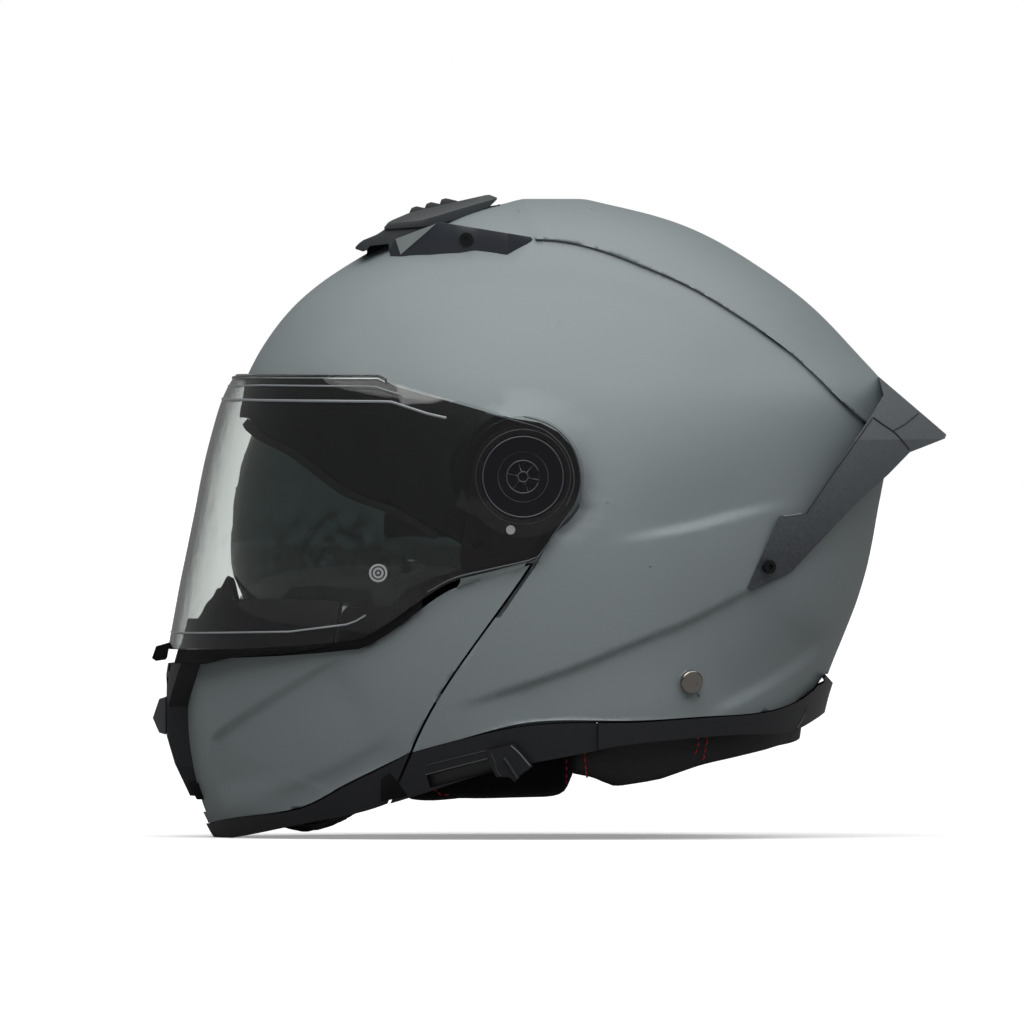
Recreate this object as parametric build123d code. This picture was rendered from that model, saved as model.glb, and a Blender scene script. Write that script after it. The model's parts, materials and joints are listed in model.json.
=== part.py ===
from build123d import *

import math
import os
from functools import lru_cache

# A modular motorcycle helmet, standing on its chin trim.
# The rider looks towards -X, the rider's left is -Y and up is +Z.
# Lengths are millimetres. Outlines are side views, as shares of LENGTH and HEIGHT.

# Overall size of the helmet, and of the body that its wall thicknesses are taken from
LENGTH = 349.0
HEIGHT = 282.5
WIDTH = 252.0
BODY_LENGTH = 312.0
OVERRUN = 20.0

# Walls and fits
SHELL_WALL = 3.0
CHIN_WALL = 2.4
FIT_GAP = 0.3
RUNNING_GAP = 0.05
SPLIT_GAP = 1.2
TRIM_PROUD = 0.9
TRIM_DEPTH = 6.0
BAND_STEP = 1.4

# Hub where the chin bar and the face shield turn, measured outwards from the middle plane
PIVOT_SEAT = 120.8
PIVOT_POD_RADIUS = 29.0
PIVOT_POD_DEPTH = 10.0
PIVOT_POD_DRAFT = 5.0
BOLT_RADIUS = 6.0
BOLT_HEAD_RADIUS = 9.0
BOLT_HEAD_HEIGHT = 2.5
ARM_THICKNESS = 3.0
ARM_RADIUS = 22.8
BASE_PLATE_THICKNESS = 1.2
BASE_PLATE_RADIUS = 21.0
HUB_NECK_RADIUS = 11.0
HUB_RADIUS = 18.7
HUB_THICKNESS = 2.4
HUB_GROOVE_RADIUS = 11.3
HUB_GROOVE_WIDTH = 0.8
HUB_GROOVE_DEPTH = 0.7
HUB_CORE_RADIUS = 7.0
HUB_CORE_DEPTH = 1.2
HUB_SPOKE_COUNT = 6
HUB_SPOKE_WIDTH = 1.3
HUB_CENTRE_RADIUS = 1.8

# Face shield
SHIELD_THICKNESS = 2.2
SHIELD_PROUD = 3.0
SHIELD_ARC_RADIUS = 26.6
SHIELD_DISC_GAP = 0.5
SEAL_GAP = 0.4
SEAL_PROUD = 2.4
SEAL_DEPTH = 2.0
PINLOCK_RADIUS = 4.0
PINLOCK_LENGTH = 4.6
GUIDE_PIN_RADIUS = 2.0
TAB_WIDTH = 24.0

# Inner sun visor, a piece of an ellipsoid about its own pivot
SUN_REACH = 121.0
SUN_HALF_WIDTH = 108.0
SUN_THICKNESS = 2.0
SUN_POCKET_GAP = 2.0
SUN_EAR_RADIUS = 9.0
SUN_PIN_RADIUS = 3.0
SUN_PIN_HEAD_RADIUS = 6.0
SUN_PIN_HEAD_HEIGHT = 1.4
SUN_ARM_ROOM_RADIUS = 45.0
SUN_NOTCH_HALF_WIDTH = 26.0
SUN_NOTCH_HEIGHT = 13.0

# Room for the head, and the pads round it
HEAD_HALF_LENGTH = 98.0
HEAD_HALF_WIDTH = 79.0
HEAD_RISE = 115.0
LINER_THICKNESS = 8.0
LINER_GAP = 0.3
QUILT_DEPTH = 1.5
CHEEK_THICKNESS = 22.0
CHEEK_FACE = 64.0
CHEEK_CORNER = 9.0
ROLL_THICKNESS = 22.0
ROLL_HEIGHT = 30.0
ROLL_CORNER = 8.0
ROLL_INSET = 17.3
CHIN_PAD_DEPTH = 21.0

# Chin bar fittings
VENT_PROUD = 8.4
VENT_DEPTH = 9.0
VENT_WALL = 2.4
VENT_SLOT_HEIGHT = 4.0
VENT_SLOT_LENGTH = 11.0
SHUTTER_WIDTH = 30.0
GUARD_THICKNESS = 2.0
CURTAIN_THICKNESS = 3.0
CURTAIN_REACH = 34.0
BUTTON_WIDTH = 22.0
BUTTON_HEIGHT = 8.0
BUTTON_LENGTH = 8.0
BUTTON_CASE_WALL = 2.0
HOOK_FACE = 101.0
HOOK_THICKNESS = 3.0
HOOK_BOSS_RADIUS = 6.5
HOOK_PIN_RADIUS = 2.5
STRIKER_RADIUS = 3.0

# Vents on the crown
PLATE_RIB_WIDTH = 44.0
PLATE_RIB_RADIUS = 1.3
SCREW_HEAD_RADIUS = 3.0
SCREW_HEAD_HEIGHT = 1.6
SCREW_RADIUS = 1.6
SCREW_LENGTH = 6.0
SCREW_SOCKET_RADIUS = 1.3
SPOILER_SCREW_LENGTH = 6.5

# Rear spoiler
SPOILER_PROUD = 3.6
SPOILER_LOW_GROWTH = 5.0

# Slider for the sun visor, in the left trim
LEVER_PROUD = 4.5
LEVER_PEG_RADIUS = 2.2
TRACK_THICKNESS = 1.5
SLOT_DEPTH = 4.5
LEVER_GAP = 1.3

# Retention strap
RIVET_RADIUS = 5.3
RIVET_HEIGHT = 2.0
RIVET_SHANK_RADIUS = 3.0
STRAP_WIDTH = 24.0
STRAP_THICKNESS = 2.0
STRAP_CROSSING = 30.0
STRAP_CLEARANCE = 1.2
BUCKLE_LENGTH = 44.0
BUCKLE_WIDTH = 30.0
BUCKLE_HEIGHT = 13.0
BUCKLE_WALL = 2.5
BUCKLE_LEVER_HEIGHT = 4.0
BUCKLE_PIN_RADIUS = 2.0
TONGUE_THICKNESS = 3.0
TONGUE_WIDTH = 18.0
BUCKLE_MIDDLE = 22.0

SIDES = {"left": -1, "right": 1}
CURVE_STEPS = 6
EDGE_STEPS = 40
FAR_SHARE = 0.62

# Rows of the outer form: height, front, rear, half width, widest place and bluntness of the front
FORM_SHARES = (
    (0.989, 0.463, 0.545, 0.071, 0.501, 2.20),
    (0.983, 0.425, 0.564, 0.151, 0.501, 2.20),
    (0.970, 0.372, 0.610, 0.254, 0.503, 2.20),
    (0.944, 0.320, 0.676, 0.381, 0.506, 2.20),
    (0.905, 0.264, 0.736, 0.508, 0.508, 2.20),
    (0.852, 0.200, 0.799, 0.643, 0.513, 2.20),
    (0.782, 0.148, 0.861, 0.770, 0.517, 2.20),
    (0.696, 0.113, 0.923, 0.877, 0.521, 2.20),
    (0.603, 0.105, 0.929, 0.948, 0.526, 2.20),
    (0.494, 0.086, 0.912, 0.992, 0.528, 2.25),
    (0.369, 0.059, 0.888, 1.000, 0.531, 2.30),
    (0.245, 0.039, 0.849, 0.984, 0.533, 2.15),
    (0.151, 0.039, 0.832, 0.960, 0.536, 2.00),
    (0.058, 0.057, 0.816, 0.913, 0.538, 1.95),
    (-0.020, 0.092, 0.801, 0.865, 0.538, 1.95),
)
FORM_REAR_POWER = 2.2
FORM_CENTRE_SHARES = (0.486, 0.45)

# Rows of the face shield's outside: height, front, half width and bluntness
SHIELD_SHARES = (
    (0.759, 0.127, 0.853, 2.50),
    (0.721, 0.105, 0.912, 2.50),
    (0.681, 0.087, 0.956, 2.50),
    (0.642, 0.077, 0.974, 2.50),
    (0.579, 0.064, 0.997, 2.50),
    (0.509, 0.053, 0.999, 2.50),
    (0.431, 0.040, 1.000, 2.50),
    (0.369, 0.030, 1.000, 2.40),
    (0.307, 0.021, 0.997, 2.35),
    (0.260, 0.015, 0.992, 2.30),
)
SHIELD_MIDDLE_SHARE = 0.528

# Places on the side view
HUB_SHARES = (0.467, 0.563)
SUN_PIVOT_SHARES = (0.444, 0.463)
PINLOCK_SHARES = (0.285, 0.414)
GUIDE_PIN_SHARES = (0.451, 0.481)
RIVET_SHARES = (0.677, 0.245)
FIN_SCREW_SHARES = (0.395, 0.931)
SPOILER_SCREW_SHARES = (0.777, 0.423)
HOOK_PIVOT_SHARES = (0.305, 0.215)
STRIKER_SHARES = (0.375, 0.200)
HEAD_CENTRE_SHARES = (0.506, 0.434)

# Outlines on the side view
BROW_SHARES = (
    (0.122, 0.653), (0.137, 0.634), (0.173, 0.611), (0.211, 0.579), (0.248, 0.545),
    (0.300, 0.520), (0.362, 0.478), (0.412, 0.446), (0.479, 0.429),
)
SPLIT_SHARES = (
    (0.479, 0.427), (0.438, 0.355), (0.400, 0.290), (0.362, 0.220), (0.340, 0.170), (0.328, 0.136),
)
SPLIT_FOOT_SHARES = (0.300, 0.056)
SHELL_LOW_SHARES = (
    (0.328, 0.136), (0.400, 0.160), (0.472, 0.178), (0.604, 0.183), (0.706, 0.191),
    (0.808, 0.212), (0.847, 0.254),
)
SHELL_CORNER_SHARES = ((1.05, 0.254), (1.05, 1.05), (-0.05, 1.05), (-0.05, 0.653))
BAND_SHARES = (
    (0.482, 0.931), (0.551, 0.919), (0.614, 0.891), (0.677, 0.857), (0.740, 0.810),
    (0.803, 0.755), (0.866, 0.681), (0.902, 0.642),
)
BAND_CORNER_SHARES = ((0.935, 0.642), (0.935, 1.05), (0.424, 1.05))
ARM_SHARES = (
    (0.428, 0.620), (0.400, 0.556), (0.394, 0.486), (0.388, 0.440), (0.388, 0.400), (0.374, 0.372),
    (0.400, 0.385), (0.462, 0.411), (0.508, 0.507),
)
ARM_ROOT_SHARES = (
    (0.388, 0.420), (0.388, 0.400), (0.374, 0.372), (0.400, 0.385), (0.405, 0.387), (0.405, 0.420),
)
BASE_PLATE_SHARES = (
    (0.432, 0.618), (0.423, 0.552), (0.423, 0.486), (0.424, 0.445), (0.440, 0.430),
    (0.466, 0.442), (0.500, 0.510),
)
RECESS_SHARES = (
    (0.467, 0.563), (0.515, 0.5034), (0.482, 0.424), (0.438, 0.345), (0.30, 0.345), (0.30, 0.70),
)
SHIELD_TOP_SHARES = ((0.286, 0.721), (0.303, 0.711), (0.383, 0.681), (0.449, 0.659))
SHIELD_ARC_SHARES = ((0.449, 0.659), (0.528, 0.506))
SHIELD_LOW_SHARES = (
    (0.482, 0.432), (0.425, 0.416), (0.377, 0.400), (0.340, 0.373), (0.290, 0.330), (0.264, 0.312),
)
SHIELD_SILL_SHARES = ((0.264, 0.312), (0.173, 0.300), (0.059, 0.294), (-0.05, 0.292))
CHIN_SILL_SHARES = ((0.066, 0.280), (0.177, 0.286), (0.261, 0.296))
CHIN_TOP_SHARES = (
    (0.261, 0.296), (0.304, 0.325), (0.340, 0.359), (0.376, 0.388), (0.400, 0.399), (0.476, 0.423),
)
CHIN_LOW_SHARES = (
    (0.322, 0.132), (0.285, 0.109), (0.237, 0.079), (0.190, 0.049), (0.153, 0.040),
    (0.092, 0.029), (0.071, 0.022),
)
CHIN_TRIM_SHARES = (
    (0.300, 0.056), (0.256, 0.040), (0.200, 0.026), (0.140, 0.010), (0.100, 0.0),
)
CURTAIN_SHARES = ((0.110, 0.022), (0.164, 0.015), (0.196, 0.010), (0.224, 0.018), (0.262, 0.044))
VENT_SIDE_SHARES = (
    (0.20, 0.275), (0.016, 0.271), (0.0175, 0.237), (0.0175, 0.159), (0.028, 0.115),
    (0.047, 0.065), (0.20, 0.050),
)
VENT_FRONT_SHARES = ((0.37, 0.300), (0.27, 0.243), (0.18, 0.204), (0.15, 0.110), (0.11, 0.040))
SHUTTER_SHARES = ((0.0163, 0.218), (0.008, 0.215), (0.0, 0.186), (0.008, 0.163), (0.0163, 0.160))
SHUTTER_TRAVEL_SHARE = 0.024
TAB_SHARES = (
    (0.024, 0.304), (0.004, 0.297), (-0.001, 0.279), (0.004, 0.2745), (0.016, 0.2765), (0.024, 0.290),
)
GUARD_FOOT_SHARES = (0.054, 0.2737)
GUARD_TOP_SHARES = (0.080, 0.405)
GUARD_HALF_WIDTH_SHARE = 0.27
GUARD_BEND_SHARE = 0.020
SEAL_END_SHARE = 0.365
GASKET_END_SHARE = 0.365
BUTTON_SHARES = (0.1125, 0.095)
HOOK_SHARES = (
    (0.300, 0.196), (0.303, 0.232), (0.388, 0.225), (0.388, 0.2135), (0.352, 0.2125), (0.325, 0.190),
)
TRIM_LOW_SHARES = (
    (0.300, 0.056), (0.351, 0.076), (0.427, 0.106), (0.484, 0.121), (0.559, 0.139),
)
TRIM_JOINT_SHARES = (0.560, 0.139)
REAR_LOW_SHARES = (
    (0.562, 0.140), (0.680, 0.158), (0.750, 0.163), (0.812, 0.170), (0.835, 0.185),
    (0.859, 0.210), (0.859, 0.238), (0.847, 0.254),
)
REAR_SLOT_SHARES = ((0.815, 0.218), (0.828, 0.230), (0.841, 0.242))
REAR_SLOT_SIZE_SHARES = (0.010, 0.006)
LEVER_SHARES = (
    (0.422, 0.139), (0.455, 0.150), (0.479, 0.115), (0.463, 0.101), (0.456, 0.090),
    (0.449, 0.098), (0.433, 0.098), (0.426, 0.115),
)
TRACK_SHARES = ((0.3459, 0.1001), (0.4499, 0.1347), (0.4541, 0.1155), (0.3501, 0.0809))
PEG_SHARES = (0.4440, 0.1224)
VENT_PLAN_SHARES = ((0.250, 0.19), (0.291, 0.286), (0.450, 0.250), (0.470, 0.250))
FIN_PLAN_SHARES = (
    (0.290, 0.295), (0.290, 0.400), (0.362, 0.460), (0.420, 0.450), (0.485, 0.380), (0.485, 0.262),
    (0.450, 0.262),
)
VENT_BASE_SHARES = (
    (0.255, 0.905), (0.257, 0.925), (0.291, 0.945), (0.438, 0.9895), (0.448, 0.9895), (0.448, 0.80),
    (0.255, 0.80),
)
PLATE_SHARES = (
    (0.291, 0.947), (0.294, 0.957), (0.325, 0.974), (0.372, 0.990), (0.424, 1.0), (0.436, 0.9935),
    (0.432, 0.990),
)
PLATE_RIB_SHARES = ((0.322, 0.9725), (0.338, 0.9785), (0.354, 0.984), (0.370, 0.989))
PLATE_SLOT_SHARES = ((0.268, 0.919), (0.291, 0.934), (0.298, 0.926), (0.280, 0.905))
FIN_SHARES = (
    (0.299, 0.890), (0.306, 0.932), (0.362, 0.958), (0.420, 0.949), (0.477, 0.935), (0.479, 0.929),
    (0.446, 0.890),
)
SPOILER_SHARES = (
    (0.914, 0.717), (1.000, 0.627), (0.998, 0.621), (0.953, 0.600), (0.926, 0.566), (0.885, 0.521),
    (0.841, 0.464), (0.805, 0.417), (0.796, 0.410), (0.753, 0.385), (0.748, 0.391), (0.752, 0.402),
    (0.788, 0.502), (0.821, 0.506), (0.905, 0.658), (0.920, 0.688),
)
SPOILER_TIP_SHARE = 1.003
SPOILER_FOOT_SHARE = 0.385
SPOILER_TOP_SHARE = 0.62
SUN_LENS_SHARES = (
    (0.060, 0.668), (0.130, 0.662), (0.190, 0.632), (0.262, 0.585), (0.340, 0.545), (0.440, 0.500),
    (0.440, 0.440), (0.360, 0.408), (0.322, 0.390), (0.300, 0.362), (0.060, 0.362),
)
SUN_POCKET_SHARES = ((0.444, 0.463), (-0.05, 0.330), (-0.05, 1.05), (0.343, 1.05))
EPS_SHARES = (
    (0.860, 0.262), (0.800, 0.262), (0.735, 0.305), (0.410, 0.305), (0.448, 0.370), (0.440, 0.440),
    (0.362, 0.492), (0.248, 0.560), (0.140, 0.655), (-0.05, 0.668), (-0.05, 1.05), (1.05, 1.05),
    (1.05, 0.262),
)
CHIN_PAD_SHARES = (
    (-0.05, 0.262), (0.180, 0.268), (0.262, 0.280), (0.278, 0.200), (0.262, 0.115), (0.190, 0.070),
    (0.100, 0.048), (-0.05, 0.048),
)
CHEEK_LOBES = (
    # front and rear ends, and the heights from the foot to the top
    (0.308, 0.379, (0.058, 0.078, 0.150, 0.235, 0.262)),
    (0.368, 0.531, (0.062, 0.085, 0.190, 0.320, 0.365)),
)
CHEEK_FULLNESS_SHARES = (0.72, 0.92, 1.0, 0.95, 0.80)
ROLL_STATIONS = (
    # angle round the back of the neck, fullness
    (87.0, 0.70), (79.0, 0.97), (66.0, 1.0), (54.0, 0.78), (42.0, 1.0), (30.0, 0.96), (20.0, 0.80),
    (10.0, 0.97), (1.5, 0.88),
)
ROLL_SIDE_SHARE = 0.125
ROLL_REAR_SHARE = 0.178


def x_at(share):
    """Place along the helmet for a share of its length."""
    return (share - 0.5) * LENGTH


def z_at(share):
    """Height for a share of the helmet's height."""
    return share * HEIGHT


def point(shares, y=0.0):
    """Point of the side view on the plane at y."""
    return Vector(x_at(shares[0]), y, z_at(shares[1]))


def moved(shares, dx=0.0, dz=0.0):
    """The same outline, moved by real lengths."""
    return [(x + dx / LENGTH, z + dz / HEIGHT) for x, z in shares]


def side_face(*runs):
    """Face of the side view from runs of points: two make a line, more a smooth curve."""
    edges = []
    for run in runs:
        places = [point(shares) for shares in run]
        edges.append(Line(*places) if len(places) == 2 else Spline(*places))
    return Face(Wire(edges))


def edge_stretch(shares, first, last):
    """Places along a smooth edge between two of its distances along the helmet."""
    edge = Spline(*[point(pair) for pair in shares])
    places = [edge @ (step / EDGE_STEPS) for step in range(EDGE_STEPS + 1)]
    pairs = [(place.X / LENGTH + 0.5, place.Z / HEIGHT) for place in places]
    return [pair for pair in pairs if first <= pair[0] <= last]


def trim_edges():
    """The shell's lower edge as two stretches that meet where the two trims do."""
    joint = TRIM_JOINT_SHARES[0]
    ahead = edge_stretch(SHELL_LOW_SHARES, 0, joint)
    behind = edge_stretch(SHELL_LOW_SHARES, joint, 1)
    (front, low), (rear, high) = ahead[-1], behind[0]
    meeting = (joint, low + (high - low) * (joint - front) / (rear - front))
    return ahead + [meeting], [meeting] + behind


def polygon_face(shares):
    """Straight-sided face of the side view."""
    places = [point(pair) for pair in shares]
    return Face(Wire.make_polygon(places, close=True))


def prism(face, low=-WIDTH, high=WIDTH):
    """Solid of a side view's face between two distances from the middle plane."""
    return extrude(Pos(0, low, 0) * face, amount=high - low, dir=(0, 1, 0))


def corner_run(shares):
    """Straight runs through a list of points."""
    return [(shares[i], shares[i + 1]) for i in range(len(shares) - 1)]


def across(radius, low, high, shares, offset=0.0):
    """Cylinder across the helmet at a place of the side view."""
    middle = point(shares, (low + high) / 2) + Vector(offset, 0, 0)
    return Pos(*middle) * Rot(90, 0, 0) * Cylinder(radius, abs(high - low))


def on_side(solid, side):
    """A solid made for the left, or its mirror image for the right."""
    if side < 0:
        return solid
    return mirror(solid, about=Plane.XZ)


def quarter(length, half, power):
    """Points of a quarter superellipse from its tip to its side."""
    points = []
    for step in range(CURVE_STEPS + 1):
        angle = math.pi / 2 * step / CURVE_STEPS
        along = max(math.cos(angle), 0.0) ** (2 / power)
        points.append((length * along, half * math.sin(angle) ** (2 / power)))
    return points


def form_row(row, inset):
    """Real sizes of one row of the outer form, drawn in by inset."""
    height, front, rear, half, middle, power = row
    centre_x = x_at(FORM_CENTRE_SHARES[0])
    centre_z = z_at(FORM_CENTRE_SHARES[1])
    grow_x = 1 - 2 * inset / BODY_LENGTH
    grow_z = 1 - inset / (z_at(FORM_SHARES[0][0]) - centre_z)
    middle_x = centre_x + (x_at(middle) - centre_x) * grow_x
    front_x = centre_x + (x_at(front) - centre_x) * grow_x
    rear_x = centre_x + (x_at(rear) - centre_x) * grow_x
    z = centre_z + (z_at(height) - centre_z) * grow_z
    return z, middle_x - front_x, rear_x - middle_x, half * WIDTH / 2 - inset * half, middle_x, power


def form_section(row, inset):
    """Level section of the outer form."""
    z, front, rear, half, middle, power = form_row(row, inset)
    left = [(middle - a, b) for a, b in quarter(front, half, power)]
    left += [(middle + a, b) for a, b in reversed(quarter(rear, half, FORM_REAR_POWER)[:-1])]
    right = [(a, -b) for a, b in reversed(left[1:-1])]
    return Face(Wire([Spline(*[(a, b, z) for a, b in left + right], periodic=True)]))


@lru_cache(maxsize=None)
def form(inset=0.0):
    """Solid of the helmet's outer form, drawn in by inset, or grown where it is negative."""
    return loft([form_section(row, inset) for row in FORM_SHARES])


def form_half_width(x, z, inset=0.0):
    """Half width of the outer form at a place of the side view."""
    rows = [form_row(row, inset) for row in FORM_SHARES]
    upper = next(i for i in range(len(rows) - 1) if rows[i + 1][0] <= z)
    high, low = rows[upper], rows[upper + 1]
    part = (z - low[0]) / (high[0] - low[0])
    front, rear, half, middle, power = [b + (a - b) * part for a, b in zip(high[1:], low[1:])]
    reach = front if x < middle else rear
    bend = power if x < middle else FORM_REAR_POWER
    return half * max(1 - (abs(x - middle) / reach) ** bend, 0.0) ** (1 / bend)


def surface_plane(shares, side, inset=0.0):
    """Plane on the outer form, facing outwards, at a place of the side view."""
    x, z = x_at(shares[0]), z_at(shares[1])
    step = SHELL_WALL
    half = form_half_width(x, z, inset)
    slope_x = (form_half_width(x + step, z, inset) - form_half_width(x - step, z, inset)) / (2 * step)
    slope_z = (form_half_width(x, z + step, inset) - form_half_width(x, z - step, inset)) / (2 * step)
    return Plane(origin=(x, side * half, z), z_dir=(-slope_x, side, -slope_z))


def skin(face, outer, inner):
    """Curved piece of the outer form's wall, cut to a side view's face."""
    return (form(outer) & prism(face)) - form(inner)


def one_side(solid, side):
    """The half of a solid on one side of the middle plane."""
    depth = WIDTH
    keep = Pos(0, side * (depth / 2 + FIT_GAP), HEIGHT / 2) * Box(2 * LENGTH, depth, 2 * HEIGHT)
    return solid & keep


def shell_face():
    """Side view of the painted main shell."""
    corners = (SHELL_LOW_SHARES[-1],) + SHELL_CORNER_SHARES + (BROW_SHARES[0],)
    return side_face(
        BROW_SHARES, (BROW_SHARES[-1], SPLIT_SHARES[0]), SPLIT_SHARES, SHELL_LOW_SHARES,
        *corner_run(corners),
    )


def pivot_pods():
    """Flat seats on the shell's sides that carry the chin bar."""
    pods = []
    for side in SIDES.values():
        seat = point(HUB_SHARES, side * PIVOT_SEAT)
        base = Plane(origin=seat, z_dir=(0, -side, 0))
        draft = math.degrees(math.atan(PIVOT_POD_DRAFT / PIVOT_POD_DEPTH))
        disc = base * Circle(PIVOT_POD_RADIUS)
        pods.append(extrude(disc, amount=PIVOT_POD_DEPTH, taper=-draft))
    return pods


def span(side, near, far):
    """Lowest and highest Y of a stretch that is measured outwards on one side."""
    return sorted((side * near, side * far))


def side_recess(side):
    """Room on one side of the shell for the swinging arm."""
    room = prism(polygon_face(RECESS_SHARES), *span(side, PIVOT_SEAT, WIDTH))
    return room + across(SHIELD_ARC_RADIUS + SPLIT_GAP, *span(side, PIVOT_SEAT, WIDTH), HUB_SHARES)


def recess_floor(side):
    """Plate that closes the shell's wall behind the swinging arm."""
    plate = prism(polygon_face(RECESS_SHARES), *span(side, PIVOT_SEAT - SHELL_WALL, PIVOT_SEAT))
    return plate & prism(shell_face()) & form()


def make_outer_shell():
    """Painted shell with its raised middle band and the pods at the hubs."""
    shell = skin(shell_face(), 0.0, SHELL_WALL)
    corners = (BAND_SHARES[-1],) + BAND_CORNER_SHARES + (BAND_SHARES[0],)
    band = skin(side_face(BAND_SHARES, *corner_run(corners)), -BAND_STEP, SHELL_WALL / 2)
    shell = shell + band
    for pod, side in zip(pivot_pods(), SIDES.values()):
        shell -= side_recess(side)
        shell += pod
        shell += recess_floor(side)
    shell -= across(BOLT_RADIUS + RUNNING_GAP, -WIDTH, WIDTH, HUB_SHARES)
    shell -= across(RIVET_SHANK_RADIUS + FIT_GAP, -WIDTH, WIDTH, RIVET_SHARES)
    for side in SIDES.values():
        shell -= screw(spoiler_screw_plane(side), SPOILER_SCREW_LENGTH, FIT_GAP)
    return shell


def make_eyeport_gasket():
    """Rubber bead along the brow and the temples of the shell's opening."""
    outer = edge_stretch(BROW_SHARES, 0, GASKET_END_SHARE)
    inner = moved(outer, -SHELL_WALL, -SHELL_WALL)
    low = moved(outer, -FIT_GAP, -FIT_GAP)
    face = side_face(low, (low[-1], inner[-1]), list(reversed(inner)), (inner[0], low[0]))
    return skin(face, -FIT_GAP, SHELL_WALL + FIT_GAP)


def ellipsoid(half_length, half_width, half_height, centre):
    """Ellipsoid about a point."""
    return Pos(*centre) * scale(Sphere(1), by=(half_length, half_width, half_height))


def head_room(growth):
    """Space for the head, open downwards, grown by the padding round it."""
    centre = point(HEAD_CENTRE_SHARES)
    length = HEAD_HALF_LENGTH + growth
    width = HEAD_HALF_WIDTH + growth
    dome = ellipsoid(length, width, HEAD_RISE + growth, centre)
    section = Plane(centre) * Ellipse(length, width)
    return dome + extrude(section, amount=-(centre.Z + OVERRUN))


def sun_room(growth):
    """Ellipsoid that the sun visor turns in."""
    centre = point(SUN_PIVOT_SHARES)
    return ellipsoid(SUN_REACH + growth, SUN_HALF_WIDTH + growth, SUN_REACH + growth, centre)


def make_eps_liner():
    """Foam liner with its pocket for the sun visor."""
    liner = form(SHELL_WALL + FIT_GAP) & prism(polygon_face(EPS_SHARES))
    pocket = prism(polygon_face(SUN_POCKET_SHARES)) - sun_room(-SUN_THICKNESS - SUN_POCKET_GAP)
    liner -= pocket
    liner -= across(SUN_ARM_ROOM_RADIUS, -WIDTH, WIDTH, SUN_PIVOT_SHARES) - sun_room(-SUN_THICKNESS - SUN_POCKET_GAP)
    seat = PIVOT_SEAT - PIVOT_POD_DEPTH
    pod_room = across(PIVOT_POD_RADIUS + PIVOT_POD_DRAFT + FIT_GAP, seat - FIT_GAP, WIDTH, HUB_SHARES)
    pod_room += across(BOLT_HEAD_RADIUS + FIT_GAP, seat - BOLT_HEAD_HEIGHT - FIT_GAP, WIDTH, HUB_SHARES)
    pod_room += prism(polygon_face(RECESS_SHARES), PIVOT_SEAT - SHELL_WALL - FIT_GAP, WIDTH)
    liner = (liner - pod_room) - mirror(pod_room, about=Plane.XZ)
    return liner - head_room(LINER_THICKNESS)


def make_crown_liner():
    """Quilted comfort liner inside the foam."""
    liner = head_room(LINER_THICKNESS - LINER_GAP) - head_room(0.0)
    centre = point(HEAD_CENTRE_SHARES)
    low = centre.Z + SUN_EAR_RADIUS
    keep = Pos(centre.X, 0, low + HEIGHT / 2) * Box(LENGTH, WIDTH, HEIGHT)
    brow_cut = prism(polygon_face(((-0.05, 0.30), (0.262, 0.30), (0.300, 0.560), (0.190, 0.668), (-0.05, 0.668))))
    liner = (liner & keep) - brow_cut
    for step in (-1, 0, 1):
        y = step * HEAD_HALF_WIDTH / 2
        part = math.sqrt(1 - (y / HEAD_HALF_WIDTH) ** 2)
        ridge = Rot(90, 0, 0) * Cylinder(1, LINER_THICKNESS / 4)
        reach = HEAD_HALF_LENGTH * part + QUILT_DEPTH
        rise = HEAD_RISE * part + QUILT_DEPTH
        liner -= Pos(centre.X, y, centre.Z) * scale(ridge, by=(reach, 1, rise))
    return liner


def rounded_section(x, y, z, length, width, corner):
    """Level section with rounded corners."""
    return Plane((x, y, z)) * RectangleRounded(length, width, min(corner, length * 0.45, width * 0.45))


def make_cheek_pad(side):
    """Crowned cheek pad in two sewn lobes."""
    pad = None
    for front, rear, heights in CHEEK_LOBES:
        sections = []
        for height, fullness in zip(heights, CHEEK_FULLNESS_SHARES):
            length = (rear - front) * LENGTH * (0.5 + 0.5 * fullness)
            width = CHEEK_THICKNESS * fullness
            y = -(CHEEK_FACE + CHEEK_THICKNESS / 2)
            x = x_at((front + rear) / 2)
            sections.append(rounded_section(x, y, z_at(height), length, width, CHEEK_CORNER))
        lobe = loft(sections)
        pad = lobe if pad is None else pad + lobe
    foot = z_at(EPS_SHARES[2][1]) - FIT_GAP
    below = Pos(0, 0, foot / 2) * Box(LENGTH, WIDTH, foot)
    pad &= head_room(LINER_THICKNESS - LINER_GAP) + below
    return on_side(pad - strap_slot(), side)


def roll_section(angle, fullness):
    """Section of the neck roll, square to its path round the back of the neck."""
    z, _, rear, half, middle, _ = form_row(FORM_SHARES[-3], ROLL_INSET)
    turn = math.radians(angle)
    power = 2 / FORM_REAR_POWER
    x = middle + rear * math.cos(turn) ** power
    y = -half * math.sin(turn) ** power
    ahead = math.radians(angle - 1)
    dx = middle + rear * math.cos(ahead) ** power - x
    dy = -half * math.sin(ahead) ** power - y
    level = ROLL_REAR_SHARE + (ROLL_SIDE_SHARE - ROLL_REAR_SHARE) * (angle / 90) ** 1.5
    plane = Plane(origin=(x, y, z_at(level)), x_dir=(-dy, dx, 0), z_dir=(dx, dy, 0))
    thickness = ROLL_THICKNESS * fullness
    height = ROLL_HEIGHT * fullness
    return plane * RectangleRounded(thickness, height, min(ROLL_CORNER, thickness * 0.45))


def make_neck_roll(side):
    """Half of the padded roll round the back of the neck, sewn into lobes."""
    roll = loft([roll_section(angle, fullness) for angle, fullness in ROLL_STATIONS])
    return on_side(roll & form(TRIM_DEPTH + FIT_GAP), side)


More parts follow.
